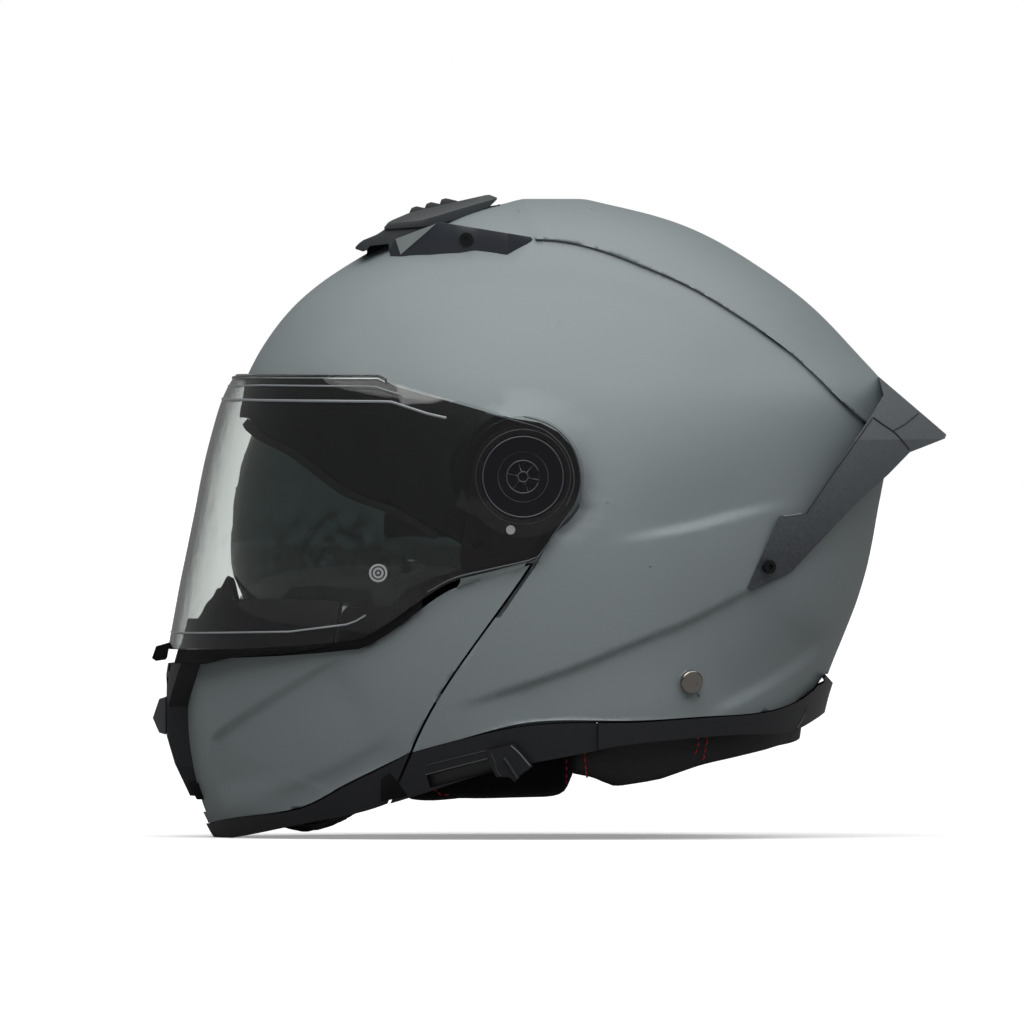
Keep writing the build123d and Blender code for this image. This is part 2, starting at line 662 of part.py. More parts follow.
def make_base_trim(side):
    """Trim along the front part of the shell's lower edge."""
    top = moved(trim_edges()[0], 0, -FIT_GAP)
    joint = (top[-1][0], TRIM_LOW_SHARES[-1][1])
    face = side_face(top, (top[-1], joint), (joint, TRIM_LOW_SHARES[-1]), list(reversed(TRIM_LOW_SHARES)),
                     (TRIM_LOW_SHARES[0], top[0]))
    trim = one_side(skin(face, -TRIM_PROUD, TRIM_DEPTH), side)
    if side < 0:
        trim -= prism(polygon_face(TRACK_SHARES), -WIDTH, -HOOK_FACE) - form(SLOT_DEPTH)
    return trim


def make_rear_trim():
    """Trim round the back of the shell's lower edge, with its outlet slots."""
    top = moved(trim_edges()[1], FIT_GAP, -FIT_GAP)
    low = [(top[0][0], REAR_LOW_SHARES[0][1])] + list(REAR_LOW_SHARES[1:-1])
    face = side_face(top, (top[-1], low[-1]), list(reversed(low)), (low[0], top[0]))
    trim = skin(face, -SPOILER_PROUD, TRIM_DEPTH)
    wide, high = REAR_SLOT_SIZE_SHARES
    for x, z in REAR_SLOT_SHARES:
        corners = ((x - wide / 2, z - high), (x + wide / 2, z), (x + wide / 2, z + high), (x - wide / 2, z))
        trim -= prism(polygon_face(corners)) - form(SHELL_WALL)
    return trim


def make_track():
    """Low-friction strip in the trim that the sun visor's lever slides on."""
    face = offset(polygon_face(TRACK_SHARES), amount=-FIT_GAP)
    strip = form(SLOT_DEPTH - TRACK_THICKNESS) & prism(face, -WIDTH, -HOOK_FACE)
    return strip - form(SLOT_DEPTH - RUNNING_GAP)


def make_lever():
    """Thumb lever that moves the sun visor, with its peg in the trim's slot."""
    paddle = form(-LEVER_PROUD) & prism(polygon_face(LEVER_SHARES), -WIDTH, 0)
    paddle -= form(-TRIM_PROUD - LEVER_GAP)
    inside = (SLOT_DEPTH - TRACK_THICKNESS) / 2
    peg = across(LEVER_PEG_RADIUS, -WIDTH / 2 - TRIM_DEPTH, -HOOK_FACE, PEG_SHARES)
    return paddle + ((peg & form(-TRIM_PROUD - LEVER_GAP - FIT_GAP)) - form(inside))


def plan_prism(shares, side_sign=1, grow=0.0):
    """Upright solid over a plan outline: shares of the length and of the half width."""
    places = [(x_at(x), side_sign * (y * WIDTH / 2 + grow), 0) for x, y in shares]
    return extrude(Face(Wire.make_polygon(places, close=True)), amount=HEIGHT * 2, dir=(0, 0, 1))


def vent_plan(grow=0.0):
    """Plan of the crown vent, the same on both sides."""
    half = [(x_at(x), y * WIDTH / 2 + grow) for x, y in VENT_PLAN_SHARES]
    places = [(x, y, 0) for x, y in half] + [(x, -y, 0) for x, y in reversed(half)]
    return extrude(Face(Wire.make_polygon(places, close=True)), amount=HEIGHT * 2, dir=(0, 0, 1))


def make_top_vent_base(shell):
    """Frame of the crown vent with its intake slot under the front lip."""
    base = prism(polygon_face(VENT_BASE_SHARES), -WIDTH / 2, WIDTH / 2) & vent_plan()
    intake = prism(polygon_face(PLATE_SLOT_SHARES), -WIDTH / 10, WIDTH / 10)
    return (base - intake) - form(-FIT_GAP) - shell


def make_top_vent_slider():
    """Ribbed plate that slides on the vent frame."""
    plate = prism(polygon_face(PLATE_SHARES), -WIDTH / 2, WIDTH / 2) & vent_plan(-FIT_GAP)
    for shares in PLATE_RIB_SHARES:
        plate += across(PLATE_RIB_RADIUS, -PLATE_RIB_WIDTH / 2, PLATE_RIB_WIDTH / 2, shares)
    return plate


def screw(plane, length, grow=0.0):
    """Socket-head screw sunk below a plane that faces outwards, or the hole for it."""
    head = Pos(0, 0, -SCREW_HEAD_HEIGHT / 2) * Cylinder(SCREW_HEAD_RADIUS + grow, SCREW_HEAD_HEIGHT + grow)
    shank = Pos(0, 0, -length / 2) * Cylinder(SCREW_RADIUS + grow, length + grow)
    socket = Cylinder(SCREW_SOCKET_RADIUS, SCREW_HEAD_HEIGHT)
    if grow:
        above = Pos(0, 0, length / 2) * Cylinder(SCREW_HEAD_RADIUS + grow, length)
        return plane * (head + shank + above)
    return plane * (head + shank - socket)


def fin_screw_plane(side):
    """Seat of the screw on a fin's outer face."""
    y = side * FIN_PLAN_SHARES[3][1] * WIDTH / 2
    return Plane(origin=point(FIN_SCREW_SHARES, y), z_dir=(0, side, 0))


def make_fin(side, shell):
    """Fin beside the crown vent."""
    fin = prism(polygon_face(FIN_SHARES), -WIDTH / 2, WIDTH / 2) & plan_prism(FIN_PLAN_SHARES, side)
    return fin - form(-FIT_GAP) - shell - screw(fin_screw_plane(side), SCREW_LENGTH, FIT_GAP)


def make_fin_screws():
    """Screws of both fins."""
    return Compound([screw(fin_screw_plane(side), SCREW_LENGTH).solid() for side in SIDES.values()])


def spoiler_reach(height):
    """How far the spoiler's block reaches back, and its half width, at a share of the height."""
    middle = x_at(SHIELD_MIDDLE_SHARE)
    low_rear = FORM_SHARES[10][2] + SPOILER_LOW_GROWTH / LENGTH
    part = (height - SPOILER_FOOT_SHARE) / (SPOILER_TOP_SHARE - SPOILER_FOOT_SHARE)
    rear = low_rear + (SPOILER_TIP_SHARE - low_rear) * min(part, 1.0)
    half = form_half_width(middle, z_at(min(height, SPOILER_TOP_SHARE))) + SPOILER_PROUD
    return x_at(rear) - middle, half


def spoiler_level(height):
    """Level section of the block that the spoiler is cut from."""
    middle, z = x_at(SHIELD_MIDDLE_SHARE), z_at(height)
    reach, half = spoiler_reach(height)
    points = quarter(reach, half, FORM_REAR_POWER)
    right = [(middle + a, b, z) for a, b in reversed(points)]
    left = [(middle + a, -b, z) for a, b in points[1:]]
    return Face(Wire([Spline(*(right + left)), Line(left[-1], right[0])]))


def spoiler_screw_plane(side):
    """Plane on the spoiler's arm that its screw sits in."""
    middle = x_at(SHIELD_MIDDLE_SHARE)
    x, z = x_at(SPOILER_SCREW_SHARES[0]), z_at(SPOILER_SCREW_SHARES[1])
    reach, half = spoiler_reach(SPOILER_SCREW_SHARES[1])
    spread = []
    for step in (0.0, SHELL_WALL):
        part = (x + step - middle) / reach
        spread.append(half * (1 - part ** FORM_REAR_POWER) ** (1 / FORM_REAR_POWER))
    slope = (spread[1] - spread[0]) / SHELL_WALL
    return Plane(origin=(x, side * spread[0], z), z_dir=(-slope, side, 0))


def make_spoiler(shell):
    """Rear spoiler whose arms wrap round both sides of the shell."""
    heights = (SPOILER_FOOT_SHARE - FIT_GAP / SHELL_WALL, SPOILER_TOP_SHARE, SPOILER_SHARES[0][1] + SCREW_RADIUS / WIDTH)
    block = loft([spoiler_level(height) for height in heights], ruled=True)
    spoiler = (block & prism(polygon_face(SPOILER_SHARES))) - form(-FIT_GAP) - shell
    for side in SIDES.values():
        spoiler -= screw(spoiler_screw_plane(side), SPOILER_SCREW_LENGTH, FIT_GAP)
    return spoiler


def make_spoiler_screws():
    """Screws of both spoiler arms."""
    return Compound([screw(spoiler_screw_plane(side), SPOILER_SCREW_LENGTH).solid() for side in SIDES.values()])


def shield_section(row, inset):
    """Level section of the face shield's outer form."""
    height, front, half_share, power = row
    middle = x_at(SHIELD_MIDDLE_SHARE)
    half = half_share * WIDTH / 2 + SHIELD_PROUD - inset
    reach = middle - x_at(front) - inset
    left = [(middle - a, -b) for a, b in quarter(reach, half, power)]
    right = [(a, -b) for a, b in left]
    z = z_at(height)
    rear = x_at(FAR_SHARE)
    nose = Spline(*[(a, b, z) for a, b in list(reversed(left)) + right[1:]])
    corners = [(middle, half, z), (rear, half, z), (rear, -half, z), (middle, -half, z)]
    return Face(Wire([nose] + [Line(corners[i], corners[i + 1]) for i in range(3)]))


@lru_cache(maxsize=None)
def shield_form(inset=0.0):
    """Solid of the face shield's outer form, drawn in by inset."""
    return loft([shield_section(row, inset) for row in SHIELD_SHARES])


def hub_point(radius, angle):
    """Point of the side view at a distance from the hub."""
    turn = math.radians(angle)
    middle = point(HUB_SHARES)
    return middle + Vector(radius * math.cos(turn), 0, radius * math.sin(turn))


def hub_angle(shares):
    """Direction from the hub to a place of the side view, in degrees."""
    away = point(shares) - point(HUB_SHARES)
    return math.degrees(math.atan2(away.Z, away.X))


def shield_face():
    """Side view of the face shield, round behind the hub."""
    top_angle = hub_angle(SHIELD_ARC_SHARES[0])
    low_angle = hub_angle(SHIELD_ARC_SHARES[1])
    top = hub_point(SHIELD_ARC_RADIUS, top_angle)
    low = hub_point(SHIELD_ARC_RADIUS, low_angle)
    middle = hub_point(SHIELD_ARC_RADIUS, (top_angle + low_angle) / 2)
    front_top = point((-0.05, SHIELD_TOP_SHARES[0][1]))
    sill = [point(shares) for shares in SHIELD_SILL_SHARES]
    edges = [
        Line(front_top, point(SHIELD_TOP_SHARES[0])),
        Spline(*[point(shares) for shares in SHIELD_TOP_SHARES[:-1]], top),
        ThreePointArc(top, middle, low),
        Line(low, point(SHIELD_LOW_SHARES[0])),
        Spline(*[point(shares) for shares in SHIELD_LOW_SHARES]),
        Spline(*sill),
        Line(sill[-1], front_top),
    ]
    return Face(Wire(edges))


ARM_INNER = PIVOT_SEAT + FIT_GAP
ARM_OUTER = ARM_INNER + ARM_THICKNESS
BASE_PLATE_INNER = ARM_OUTER + RUNNING_GAP
BASE_PLATE_OUTER = BASE_PLATE_INNER + BASE_PLATE_THICKNESS
SHIELD_SEAT = BASE_PLATE_OUTER + 3 * FIT_GAP
HUB_SEAT = SHIELD_SEAT + SHIELD_THICKNESS + FIT_GAP


def make_face_shield():
    """Clear curved shield with its hub discs and the holes that it turns on."""
    face = shield_face()
    shield = (shield_form() & prism(face)) - shield_form(SHIELD_THICKNESS)
    for side in SIDES.values():
        low, high = sorted((side * PIVOT_SEAT, side * WIDTH))
        shield -= across(SHIELD_ARC_RADIUS - FIT_GAP, low, high, HUB_SHARES)
        low, high = sorted((side * SHIELD_SEAT, side * (SHIELD_SEAT + SHIELD_THICKNESS)))
        disc = across(SHIELD_ARC_RADIUS, low, high, HUB_SHARES)
        shield += disc - across(HUB_NECK_RADIUS + RUNNING_GAP, low, high, HUB_SHARES)
        shield -= pin_plug(PINLOCK_SHARES, PINLOCK_RADIUS, side)
        shield -= across(GUIDE_PIN_RADIUS, *span(side, PIVOT_SEAT, WIDTH), GUIDE_PIN_SHARES)
    return shield


def pin_plug(shares, radius, side):
    """Round plug straight through the face shield."""
    half = shield_half_width(point(shares))
    return across(radius, *span(side, half - PINLOCK_LENGTH, half + PINLOCK_LENGTH / 3), shares)


def shield_half_width(place):
    """Half width of the face shield's outside at a place of the side view."""
    rows = [(z_at(row[0]), row) for row in SHIELD_SHARES]
    upper = next(i for i in range(len(rows) - 1) if rows[i + 1][0] <= place.Z)
    (high_z, high), (low_z, low) = rows[upper], rows[upper + 1]
    part = (place.Z - low_z) / (high_z - low_z)
    front, half, power = [b + (a - b) * part for a, b in zip(high[1:], low[1:])]
    middle = x_at(SHIELD_MIDDLE_SHARE)
    away = abs(place.X - middle) / (middle - x_at(front))
    return (half * WIDTH / 2 + SHIELD_PROUD) * max(1 - away ** power, 0.0) ** (1 / power)


def make_pinlock_pins():
    """Pins on both sides of the face shield that hold an anti-fog lens."""
    return Compound([pin_plug(PINLOCK_SHARES, PINLOCK_RADIUS, side).solid() for side in SIDES.values()])


def make_guide_pins():
    """Small pins on both hub discs that run in the base plates' guides."""
    low, high = BASE_PLATE_OUTER + FIT_GAP, SHIELD_SEAT + SHIELD_THICKNESS + FIT_GAP
    pins = [across(GUIDE_PIN_RADIUS, *span(side, low, high), GUIDE_PIN_SHARES) for side in SIDES.values()]
    return Compound([pin.solid() for pin in pins])


def make_shield_tab():
    """Thumb tab at the foot of the face shield."""
    tab = prism(polygon_face(TAB_SHARES), -TAB_WIDTH / 2, TAB_WIDTH / 2)
    return tab - shield_form(-RUNNING_GAP)


def make_hub_cover(side):
    """Round cover that holds the face shield on the chin bar."""
    seat = point(HUB_SHARES, -HUB_SEAT)
    cover = across(HUB_RADIUS, -HUB_SEAT - HUB_THICKNESS, -HUB_SEAT, HUB_SHARES)
    cover += across(HUB_NECK_RADIUS, -HUB_SEAT, -BASE_PLATE_OUTER - RUNNING_GAP, HUB_SHARES)
    top = Plane(origin=seat - Vector(0, HUB_THICKNESS, 0), z_dir=(0, -1, 0))
    groove = Circle(HUB_GROOVE_RADIUS) - Circle(HUB_GROOVE_RADIUS - HUB_GROOVE_WIDTH)
    cover -= extrude(top * groove, amount=-HUB_GROOVE_DEPTH)
    core = Circle(HUB_CORE_RADIUS) - Circle(HUB_CENTRE_RADIUS * 2)
    spokes = [Rot(0, 0, 180 * i / HUB_SPOKE_COUNT * 2) * Rectangle(HUB_CORE_RADIUS * 2, HUB_SPOKE_WIDTH)
              for i in range(HUB_SPOKE_COUNT // 2)]
    for spoke in spokes:
        core -= spoke
    cover -= extrude(top * core, amount=-HUB_CORE_DEPTH)
    cover -= extrude(top * Circle(HUB_CENTRE_RADIUS), amount=-HUB_CORE_DEPTH)
    return on_side(cover, side)


def make_pivot_bolt(side):
    """Bolt through the pod that the chin bar swings on."""
    inner = PIVOT_SEAT - PIVOT_POD_DEPTH
    bolt = across(BOLT_RADIUS, -ARM_OUTER, -inner, HUB_SHARES)
    bolt += across(BOLT_HEAD_RADIUS, -inner, -inner + BOLT_HEAD_HEIGHT, HUB_SHARES)
    return on_side(bolt, side)


def make_base_plate(side):
    """Dark plate over the arm, behind the face shield."""
    plate = prism(polygon_face(BASE_PLATE_SHARES), -BASE_PLATE_OUTER, -BASE_PLATE_INNER)
    plate += across(BASE_PLATE_RADIUS, -BASE_PLATE_OUTER, -BASE_PLATE_INNER, HUB_SHARES)
    return on_side(plate, side)


def chin_split():
    """Rear edge of the chin bar, a gap in front of the shell's edge."""
    return moved(SPLIT_SHARES, -SPLIT_GAP, 0)


def chin_face():
    """Side view of the painted chin bar."""
    split = chin_split()
    top = list(CHIN_TOP_SHARES[:-1]) + [split[0]]
    low = [split[-1]] + list(CHIN_LOW_SHARES[1:])
    front_top = (-0.05, CHIN_SILL_SHARES[0][1])
    front_low = (-0.05, CHIN_LOW_SHARES[-1][1])
    return side_face(
        (front_top, CHIN_SILL_SHARES[0]), CHIN_SILL_SHARES, top, split, low,
        (low[-1], front_low), (front_low, front_top),
    )


def front_prism(shares, grow=0.0):
    """Solid ahead of the rider over a front view: shares of the half width and of the height."""
    half = [(y * WIDTH / 2 + grow, z_at(z)) for y, z in shares]
    half[0] = (half[0][0], half[0][1] + grow)
    half[-1] = (half[-1][0], half[-1][1] - grow)
    places = [(-LENGTH, y, z) for y, z in half] + [(-LENGTH, -y, z) for y, z in reversed(half)]
    return extrude(Face(Wire.make_polygon(places, close=True)), amount=LENGTH - VENT_DEPTH * 4, dir=(1, 0, 0))


def make_arm(side):
    """Arm of the chin bar, flat between the shell's pod and the face shield."""
    chin = prism(chin_face())
    arm = prism(polygon_face(ARM_SHARES), *span(side, ARM_INNER, ARM_OUTER))
    arm += across(ARM_RADIUS, *span(side, ARM_INNER, ARM_OUTER), HUB_SHARES)
    arm -= chin - form()
    root = prism(polygon_face(ARM_ROOT_SHARES), *span(side, PIVOT_SEAT - SHELL_WALL, ARM_OUTER))
    arm += root & chin & form()
    return arm - across(BOLT_RADIUS + RUNNING_GAP, -WIDTH, WIDTH, HUB_SHARES)


def make_chin_bar_shell():
    """Painted chin bar with its two arms."""
    shell = skin(chin_face(), 0.0, CHIN_WALL)
    shell -= front_prism(VENT_FRONT_SHARES, FIT_GAP)
    for side in SIDES.values():
        shell += make_arm(side)
    return shell


def make_chin_trim():
    """Black trim under the chin bar, which the helmet stands on."""
    split = chin_split()
    top = moved([(split[-1][0], SPLIT_SHARES[-1][1])] + list(CHIN_LOW_SHARES[1:]), 0, -FIT_GAP)
    low = moved([SPLIT_FOOT_SHARES], -SPLIT_GAP, 0) + list(CHIN_TRIM_SHARES[1:])
    front_top = (-0.05, top[-1][1])
    front_low = (-0.05, low[-1][1])
    face = side_face(
        top, (top[-1], front_top), (front_top, front_low), (front_low, low[-1]),
        list(reversed(low)), (low[0], top[0]),
    )
    return skin(face, -TRIM_PROUD, TRIM_DEPTH) - front_prism(VENT_FRONT_SHARES, FIT_GAP)


def make_chin_vent_housing():
    """Hollow duct at the front of the chin bar, with its inlets."""
    side_cut = prism(polygon_face(VENT_SIDE_SHARES))
    block = form(-VENT_PROUD) & side_cut & front_prism(VENT_FRONT_SHARES)
    hollow = (form(-VENT_PROUD + VENT_WALL) & front_prism(VENT_FRONT_SHARES, -VENT_WALL))
    housing = block - (hollow & Pos(2 * VENT_WALL, 0, 0) * side_cut) - form(VENT_DEPTH)
    for side in SIDES.values():
        for row in range(2):
            z = z_at(VENT_FRONT_SHARES[1][1]) + row * 2 * VENT_SLOT_HEIGHT * 0.8
            y = side * (VENT_SLOT_LENGTH + row * VENT_WALL)
            slot = Pos(x_at(0), y, z) * Box(LENGTH / 4, VENT_SLOT_LENGTH, VENT_SLOT_HEIGHT)
            housing -= slot
    inlet = Pos(x_at(0), 0, z_at(SHUTTER_SHARES[2][1])) * Box(
        LENGTH / 4, SHUTTER_WIDTH * 0.8, VENT_SLOT_HEIGHT * 2)
    return housing - inlet


def make_chin_vent_shutter():
    """Sliding shutter over the main inlet."""
    return prism(polygon_face(SHUTTER_SHARES), -SHUTTER_WIDTH / 2, SHUTTER_WIDTH / 2)


def make_visor_seal():
    """Black rubber lip between the chin bar and the foot of the face shield."""
    low = moved([pair for pair in CHIN_SILL_SHARES + CHIN_TOP_SHARES[1:] if pair[0] < SEAL_END_SHARE], 0, -SEAL_DEPTH)
    edge = reversed(SHIELD_LOW_SHARES + SHIELD_SILL_SHARES[1:-1])
    high = moved([pair for pair in edge if pair[0] < SEAL_END_SHARE], 0, SEAL_DEPTH)
    corners = [(-0.05, low[0][1])] + low + list(reversed(high)) + [(-0.05, high[0][1])]
    seal = skin(polygon_face(corners), -SEAL_PROUD, SEAL_DEPTH)
    seal -= Pos(0, 0, FIT_GAP) * prism(chin_face())
    return seal - Pos(0, 0, -SEAL_GAP) * prism(shield_face())


def make_breath_guard():
    """Nose deflector standing on the chin bar behind the face shield."""
    foot, top = point(GUARD_FOOT_SHARES), point(GUARD_TOP_SHARES)
    half = GUARD_HALF_WIDTH_SHARE * WIDTH / 2
    bend = GUARD_BEND_SHARE * LENGTH
    ends = [Vector(foot.X + bend, side * half, foot.Z) for side in SIDES.values()]
    back = Vector(GUARD_THICKNESS, 0, 0)
    edges = [
        ThreePointArc(ends[0], foot, ends[1]),
        Line(ends[1], ends[1] + back),
        ThreePointArc(ends[1] + back, foot + back, ends[0] + back),
        Line(ends[0] + back, ends[0]),
    ]
    lean = top - foot
    return extrude(Face(Wire(edges)), amount=lean.length, dir=lean)


def make_chin_pad():
    """Foam and lining inside the chin bar."""
    pad = skin(polygon_face(CHIN_PAD_SHARES), CHIN_WALL + FIT_GAP, CHIN_PAD_DEPTH)
    pad &= Pos(x_at(0), 0, HEIGHT / 2) * Box(LENGTH, WIDTH, HEIGHT)
    pad -= front_prism(VENT_FRONT_SHARES, FIT_GAP) - form(VENT_DEPTH + FIT_GAP)
    face = point(BUTTON_SHARES)
    outlet = Box(4 * BUTTON_LENGTH, BUTTON_WIDTH + 2 * BUTTON_CASE_WALL, BUTTON_HEIGHT + 2 * BUTTON_CASE_WALL)
    return pad - button_case_block(FIT_GAP) - Pos(face.X + BUTTON_LENGTH, 0, face.Z) * outlet


def button_case_block(grow=0.0):
    """Outside of the release button's case."""
    face = point(BUTTON_SHARES)
    length = BUTTON_LENGTH + 3 * BUTTON_CASE_WALL + 2 * grow
    width = BUTTON_WIDTH + 2 * (BUTTON_CASE_WALL + grow)
    height = BUTTON_HEIGHT + 2 * (BUTTON_CASE_WALL + grow)
    return Pos(face.X - length / 2 + BUTTON_CASE_WALL, 0, face.Z) * Box(length, width, height)


def make_button_case():
    """Case in the chin pad that guides the release button."""
    face = point(BUTTON_SHARES)
    block = button_case_block()
    room = Box(BUTTON_LENGTH + 2 * BUTTON_CASE_WALL, BUTTON_WIDTH + 2 * FIT_GAP, BUTTON_HEIGHT + 2 * FIT_GAP)
    return block - Pos(face.X - BUTTON_LENGTH / 2 + BUTTON_CASE_WALL / 2, 0, face.Z) * room


def make_release_button():
    """Button that frees the chin bar."""
    face = point(BUTTON_SHARES)
    middle = Pos(face.X + BUTTON_CASE_WALL * 2 - BUTTON_LENGTH / 2, 0, face.Z)
    button = middle * Box(BUTTON_LENGTH, BUTTON_WIDTH, BUTTON_HEIGHT)
    rear = button.faces().sort_by(Axis.X)[-1]
    return fillet(rear.edges(), BUTTON_CASE_WALL / 2)


def make_hook(side):
    """Latch finger inside the chin bar that lies over the striker."""
    hook = prism(polygon_face(HOOK_SHARES), -HOOK_FACE - HOOK_THICKNESS, -HOOK_FACE)
    hook += across(HOOK_BOSS_RADIUS, -HOOK_FACE - HOOK_THICKNESS, -HOOK_FACE, HOOK_PIVOT_SHARES)
    hook -= across(HOOK_PIN_RADIUS + RUNNING_GAP, -WIDTH, 0, HOOK_PIVOT_SHARES)
    return on_side(hook, side)


def make_hook_pins():
    """Pins that the latch hooks turn on, seated on the inside of the chin bar."""
    pin = across(HOOK_PIN_RADIUS, -WIDTH / 2, -HOOK_FACE + HOOK_THICKNESS / 2, HOOK_PIVOT_SHARES)
    pin &= form(CHIN_WALL + RUNNING_GAP)
    return Compound([on_side(pin, side).solid() for side in SIDES.values()])


def make_strikers():
    """Pins inside the shell that the latch hooks hold."""
    pin = across(STRIKER_RADIUS, -WIDTH / 2, -HOOK_FACE, STRIKER_SHARES) & form(SHELL_WALL + RUNNING_GAP)
    return Compound([on_side(pin, side).solid() for side in SIDES.values()])


def make_chin_curtain():
    """Fabric flap that closes the space under the chin."""
    low = list(CURTAIN_SHARES)
    high = moved(low, 0, CURTAIN_THICKNESS)
    face = side_face(low, (low[-1], high[-1]), list(reversed(high)), (high[0], low[0]))
    sheet = prism(face) & form(TRIM_DEPTH + FIT_GAP)
    reach = x_at(SHIELD_MIDDLE_SHARE) - x_at(CURTAIN_SHARES[0][0]) - CURTAIN_REACH
    neck = Plane((x_at(SHIELD_MIDDLE_SHARE), 0, 0)) * Ellipse(reach, HEAD_HALF_WIDTH * 0.9)
    return sheet - extrude(neck, amount=HEIGHT)


def make_sun_visor():
    """Tinted inner visor with an ear at each side."""
    outline = prism(polygon_face(SUN_LENS_SHARES))
    outline += across(SUN_EAR_RADIUS, -WIDTH, WIDTH, SUN_PIVOT_SHARES)
    lens = (sun_room(0) & outline) - sun_room(-SUN_THICKNESS)
    foot = z_at(SUN_LENS_SHARES[-1][1])
    nose = Pos(x_at(0), 0, foot) * Rot(0, 90, 0) * scale(
        Cylinder(1, LENGTH / 2), by=(SUN_NOTCH_HEIGHT, SUN_NOTCH_HALF_WIDTH, 1))
    return lens - nose - across(SUN_PIN_RADIUS + RUNNING_GAP, -WIDTH, WIDTH, SUN_PIVOT_SHARES)


def make_sun_visor_pins():
    """Headed pins on the pods that the sun visor turns on."""
    seat = PIVOT_SEAT - PIVOT_POD_DEPTH
    head = SUN_HALF_WIDTH - SUN_THICKNESS - FIT_GAP
    pin = across(SUN_PIN_RADIUS, -seat, -head, SUN_PIVOT_SHARES)
    pin += across(SUN_PIN_HEAD_RADIUS, -head, -head + SUN_PIN_HEAD_HEIGHT, SUN_PIVOT_SHARES)
    return Compound([on_side(pin, side).solid() for side in SIDES.values()])


def strap_face():
    """Outside of the webbing where it runs beside the cheek pad."""
    return CHEEK_FACE + CHEEK_THICKNESS + STRAP_THICKNESS + STRAP_CLEARANCE


def make_rivet(side):
    """Chromed rivet whose shank carries the strap inside the shell."""
    plane = surface_plane(RIVET_SHARES, side, -FIT_GAP)
    head = Pos(0, 0, RIVET_HEIGHT / 2) * Cylinder(RIVET_RADIUS, RIVET_HEIGHT)
    head = fillet(head.edges().group_by(Axis.Z)[-1], RIVET_HEIGHT / 2)
    low, high = sorted((side * (strap_face() + RUNNING_GAP), side * (abs(plane.origin.Y) + RIVET_HEIGHT / 2)))
    return plane * head + across(RIVET_SHANK_RADIUS, low, high, RIVET_SHARES)


def make_rivets():
    """Strap rivets of both sides."""
    return Compound([make_rivet(side).solid() for side in SIDES.values()])


def strap_middle():
    """Place along the helmet where the straps pass under the chin."""
    return x_at(STRIKER_SHARES[0]) + STRAP_WIDTH / 2 + HOOK_THICKNESS


def strap_slot():
    """Slot in the left cheek pad that the webbing comes through."""
    level = STRAP_CROSSING + STRAP_THICKNESS / 2
    width = STRAP_WIDTH + 2 * STRAP_THICKNESS
    return Pos(strap_middle(), 0, level) * Box(width, WIDTH, STRAP_THICKNESS * 2)


def make_strap(side):
    """Webbing from the rivet, down beside the cheek pad and in under the chin."""
    anchor = point(RIVET_SHARES)
    outer = strap_face()
    inner = outer - STRAP_THICKNESS
    end = BUCKLE_MIDDLE + BUCKLE_LENGTH / 2 if side < 0 else TONGUE_WIDTH
    low, high = STRAP_CROSSING, STRAP_CROSSING + STRAP_THICKNESS
    profile = ((outer, anchor.Z), (outer, low), (end, low), (end, high), (inner, high), (inner, anchor.Z))
    x = strap_middle() - STRAP_WIDTH / 2
    cross = Face(Wire.make_polygon([(x, -y, z) for y, z in profile], close=True))
    strap = extrude(cross, amount=STRAP_WIDTH, dir=(1, 0, 0))
    length = anchor.X - x + STRAP_WIDTH / 2
    run = Box(length, STRAP_THICKNESS, STRAP_WIDTH)
    strap += Pos(x + length / 2, (STRAP_THICKNESS / 2 - outer), anchor.Z) * run
    return on_side(strap, side)


def buckle_level():
    """Height of the middle of the buckle."""
    return STRAP_CROSSING + STRAP_THICKNESS / 2


def make_buckle_body():
    """Buckle on the left strap, open on the right for the tongue."""
    body = Box(BUCKLE_WIDTH, BUCKLE_LENGTH, BUCKLE_HEIGHT)
    body = fillet(body.edges().filter_by(Axis.Z), BUCKLE_WALL)
    slot = Box(TONGUE_WIDTH + 2 * FIT_GAP, BUCKLE_LENGTH, TONGUE_THICKNESS + 2 * FIT_GAP)
    body -= Pos(0, BUCKLE_WALL, 0) * slot
    foot = (BUCKLE_HEIGHT + BUCKLE_LEVER_HEIGHT) / 2
    for end in (-1, 1):
        lug = Box(BUCKLE_WALL, 2 * BUCKLE_LEVER_HEIGHT, BUCKLE_LEVER_HEIGHT + BUCKLE_WALL)
        x = end * (BUCKLE_WIDTH - BUCKLE_WALL) / 2
        body += Pos(x, BUCKLE_LEVER_HEIGHT * 2 - BUCKLE_LENGTH / 2, BUCKLE_WALL / 2 - foot) * lug
    placed = Pos(strap_middle(), -BUCKLE_MIDDLE, buckle_level()) * body
    return placed - lever_pin(BUCKLE_WIDTH * 2, RUNNING_GAP)


def lever_pin(length, grow=0.0):
    """Pin along X that the buckle's lever turns on."""
    y = -BUCKLE_MIDDLE - BUCKLE_LENGTH / 2 + BUCKLE_LEVER_HEIGHT * 2
    z = buckle_level() - (BUCKLE_HEIGHT + BUCKLE_LEVER_HEIGHT) / 2
    return Pos(strap_middle(), y, z) * Rot(0, 90, 0) * Cylinder(BUCKLE_PIN_RADIUS / 2 + grow, length)


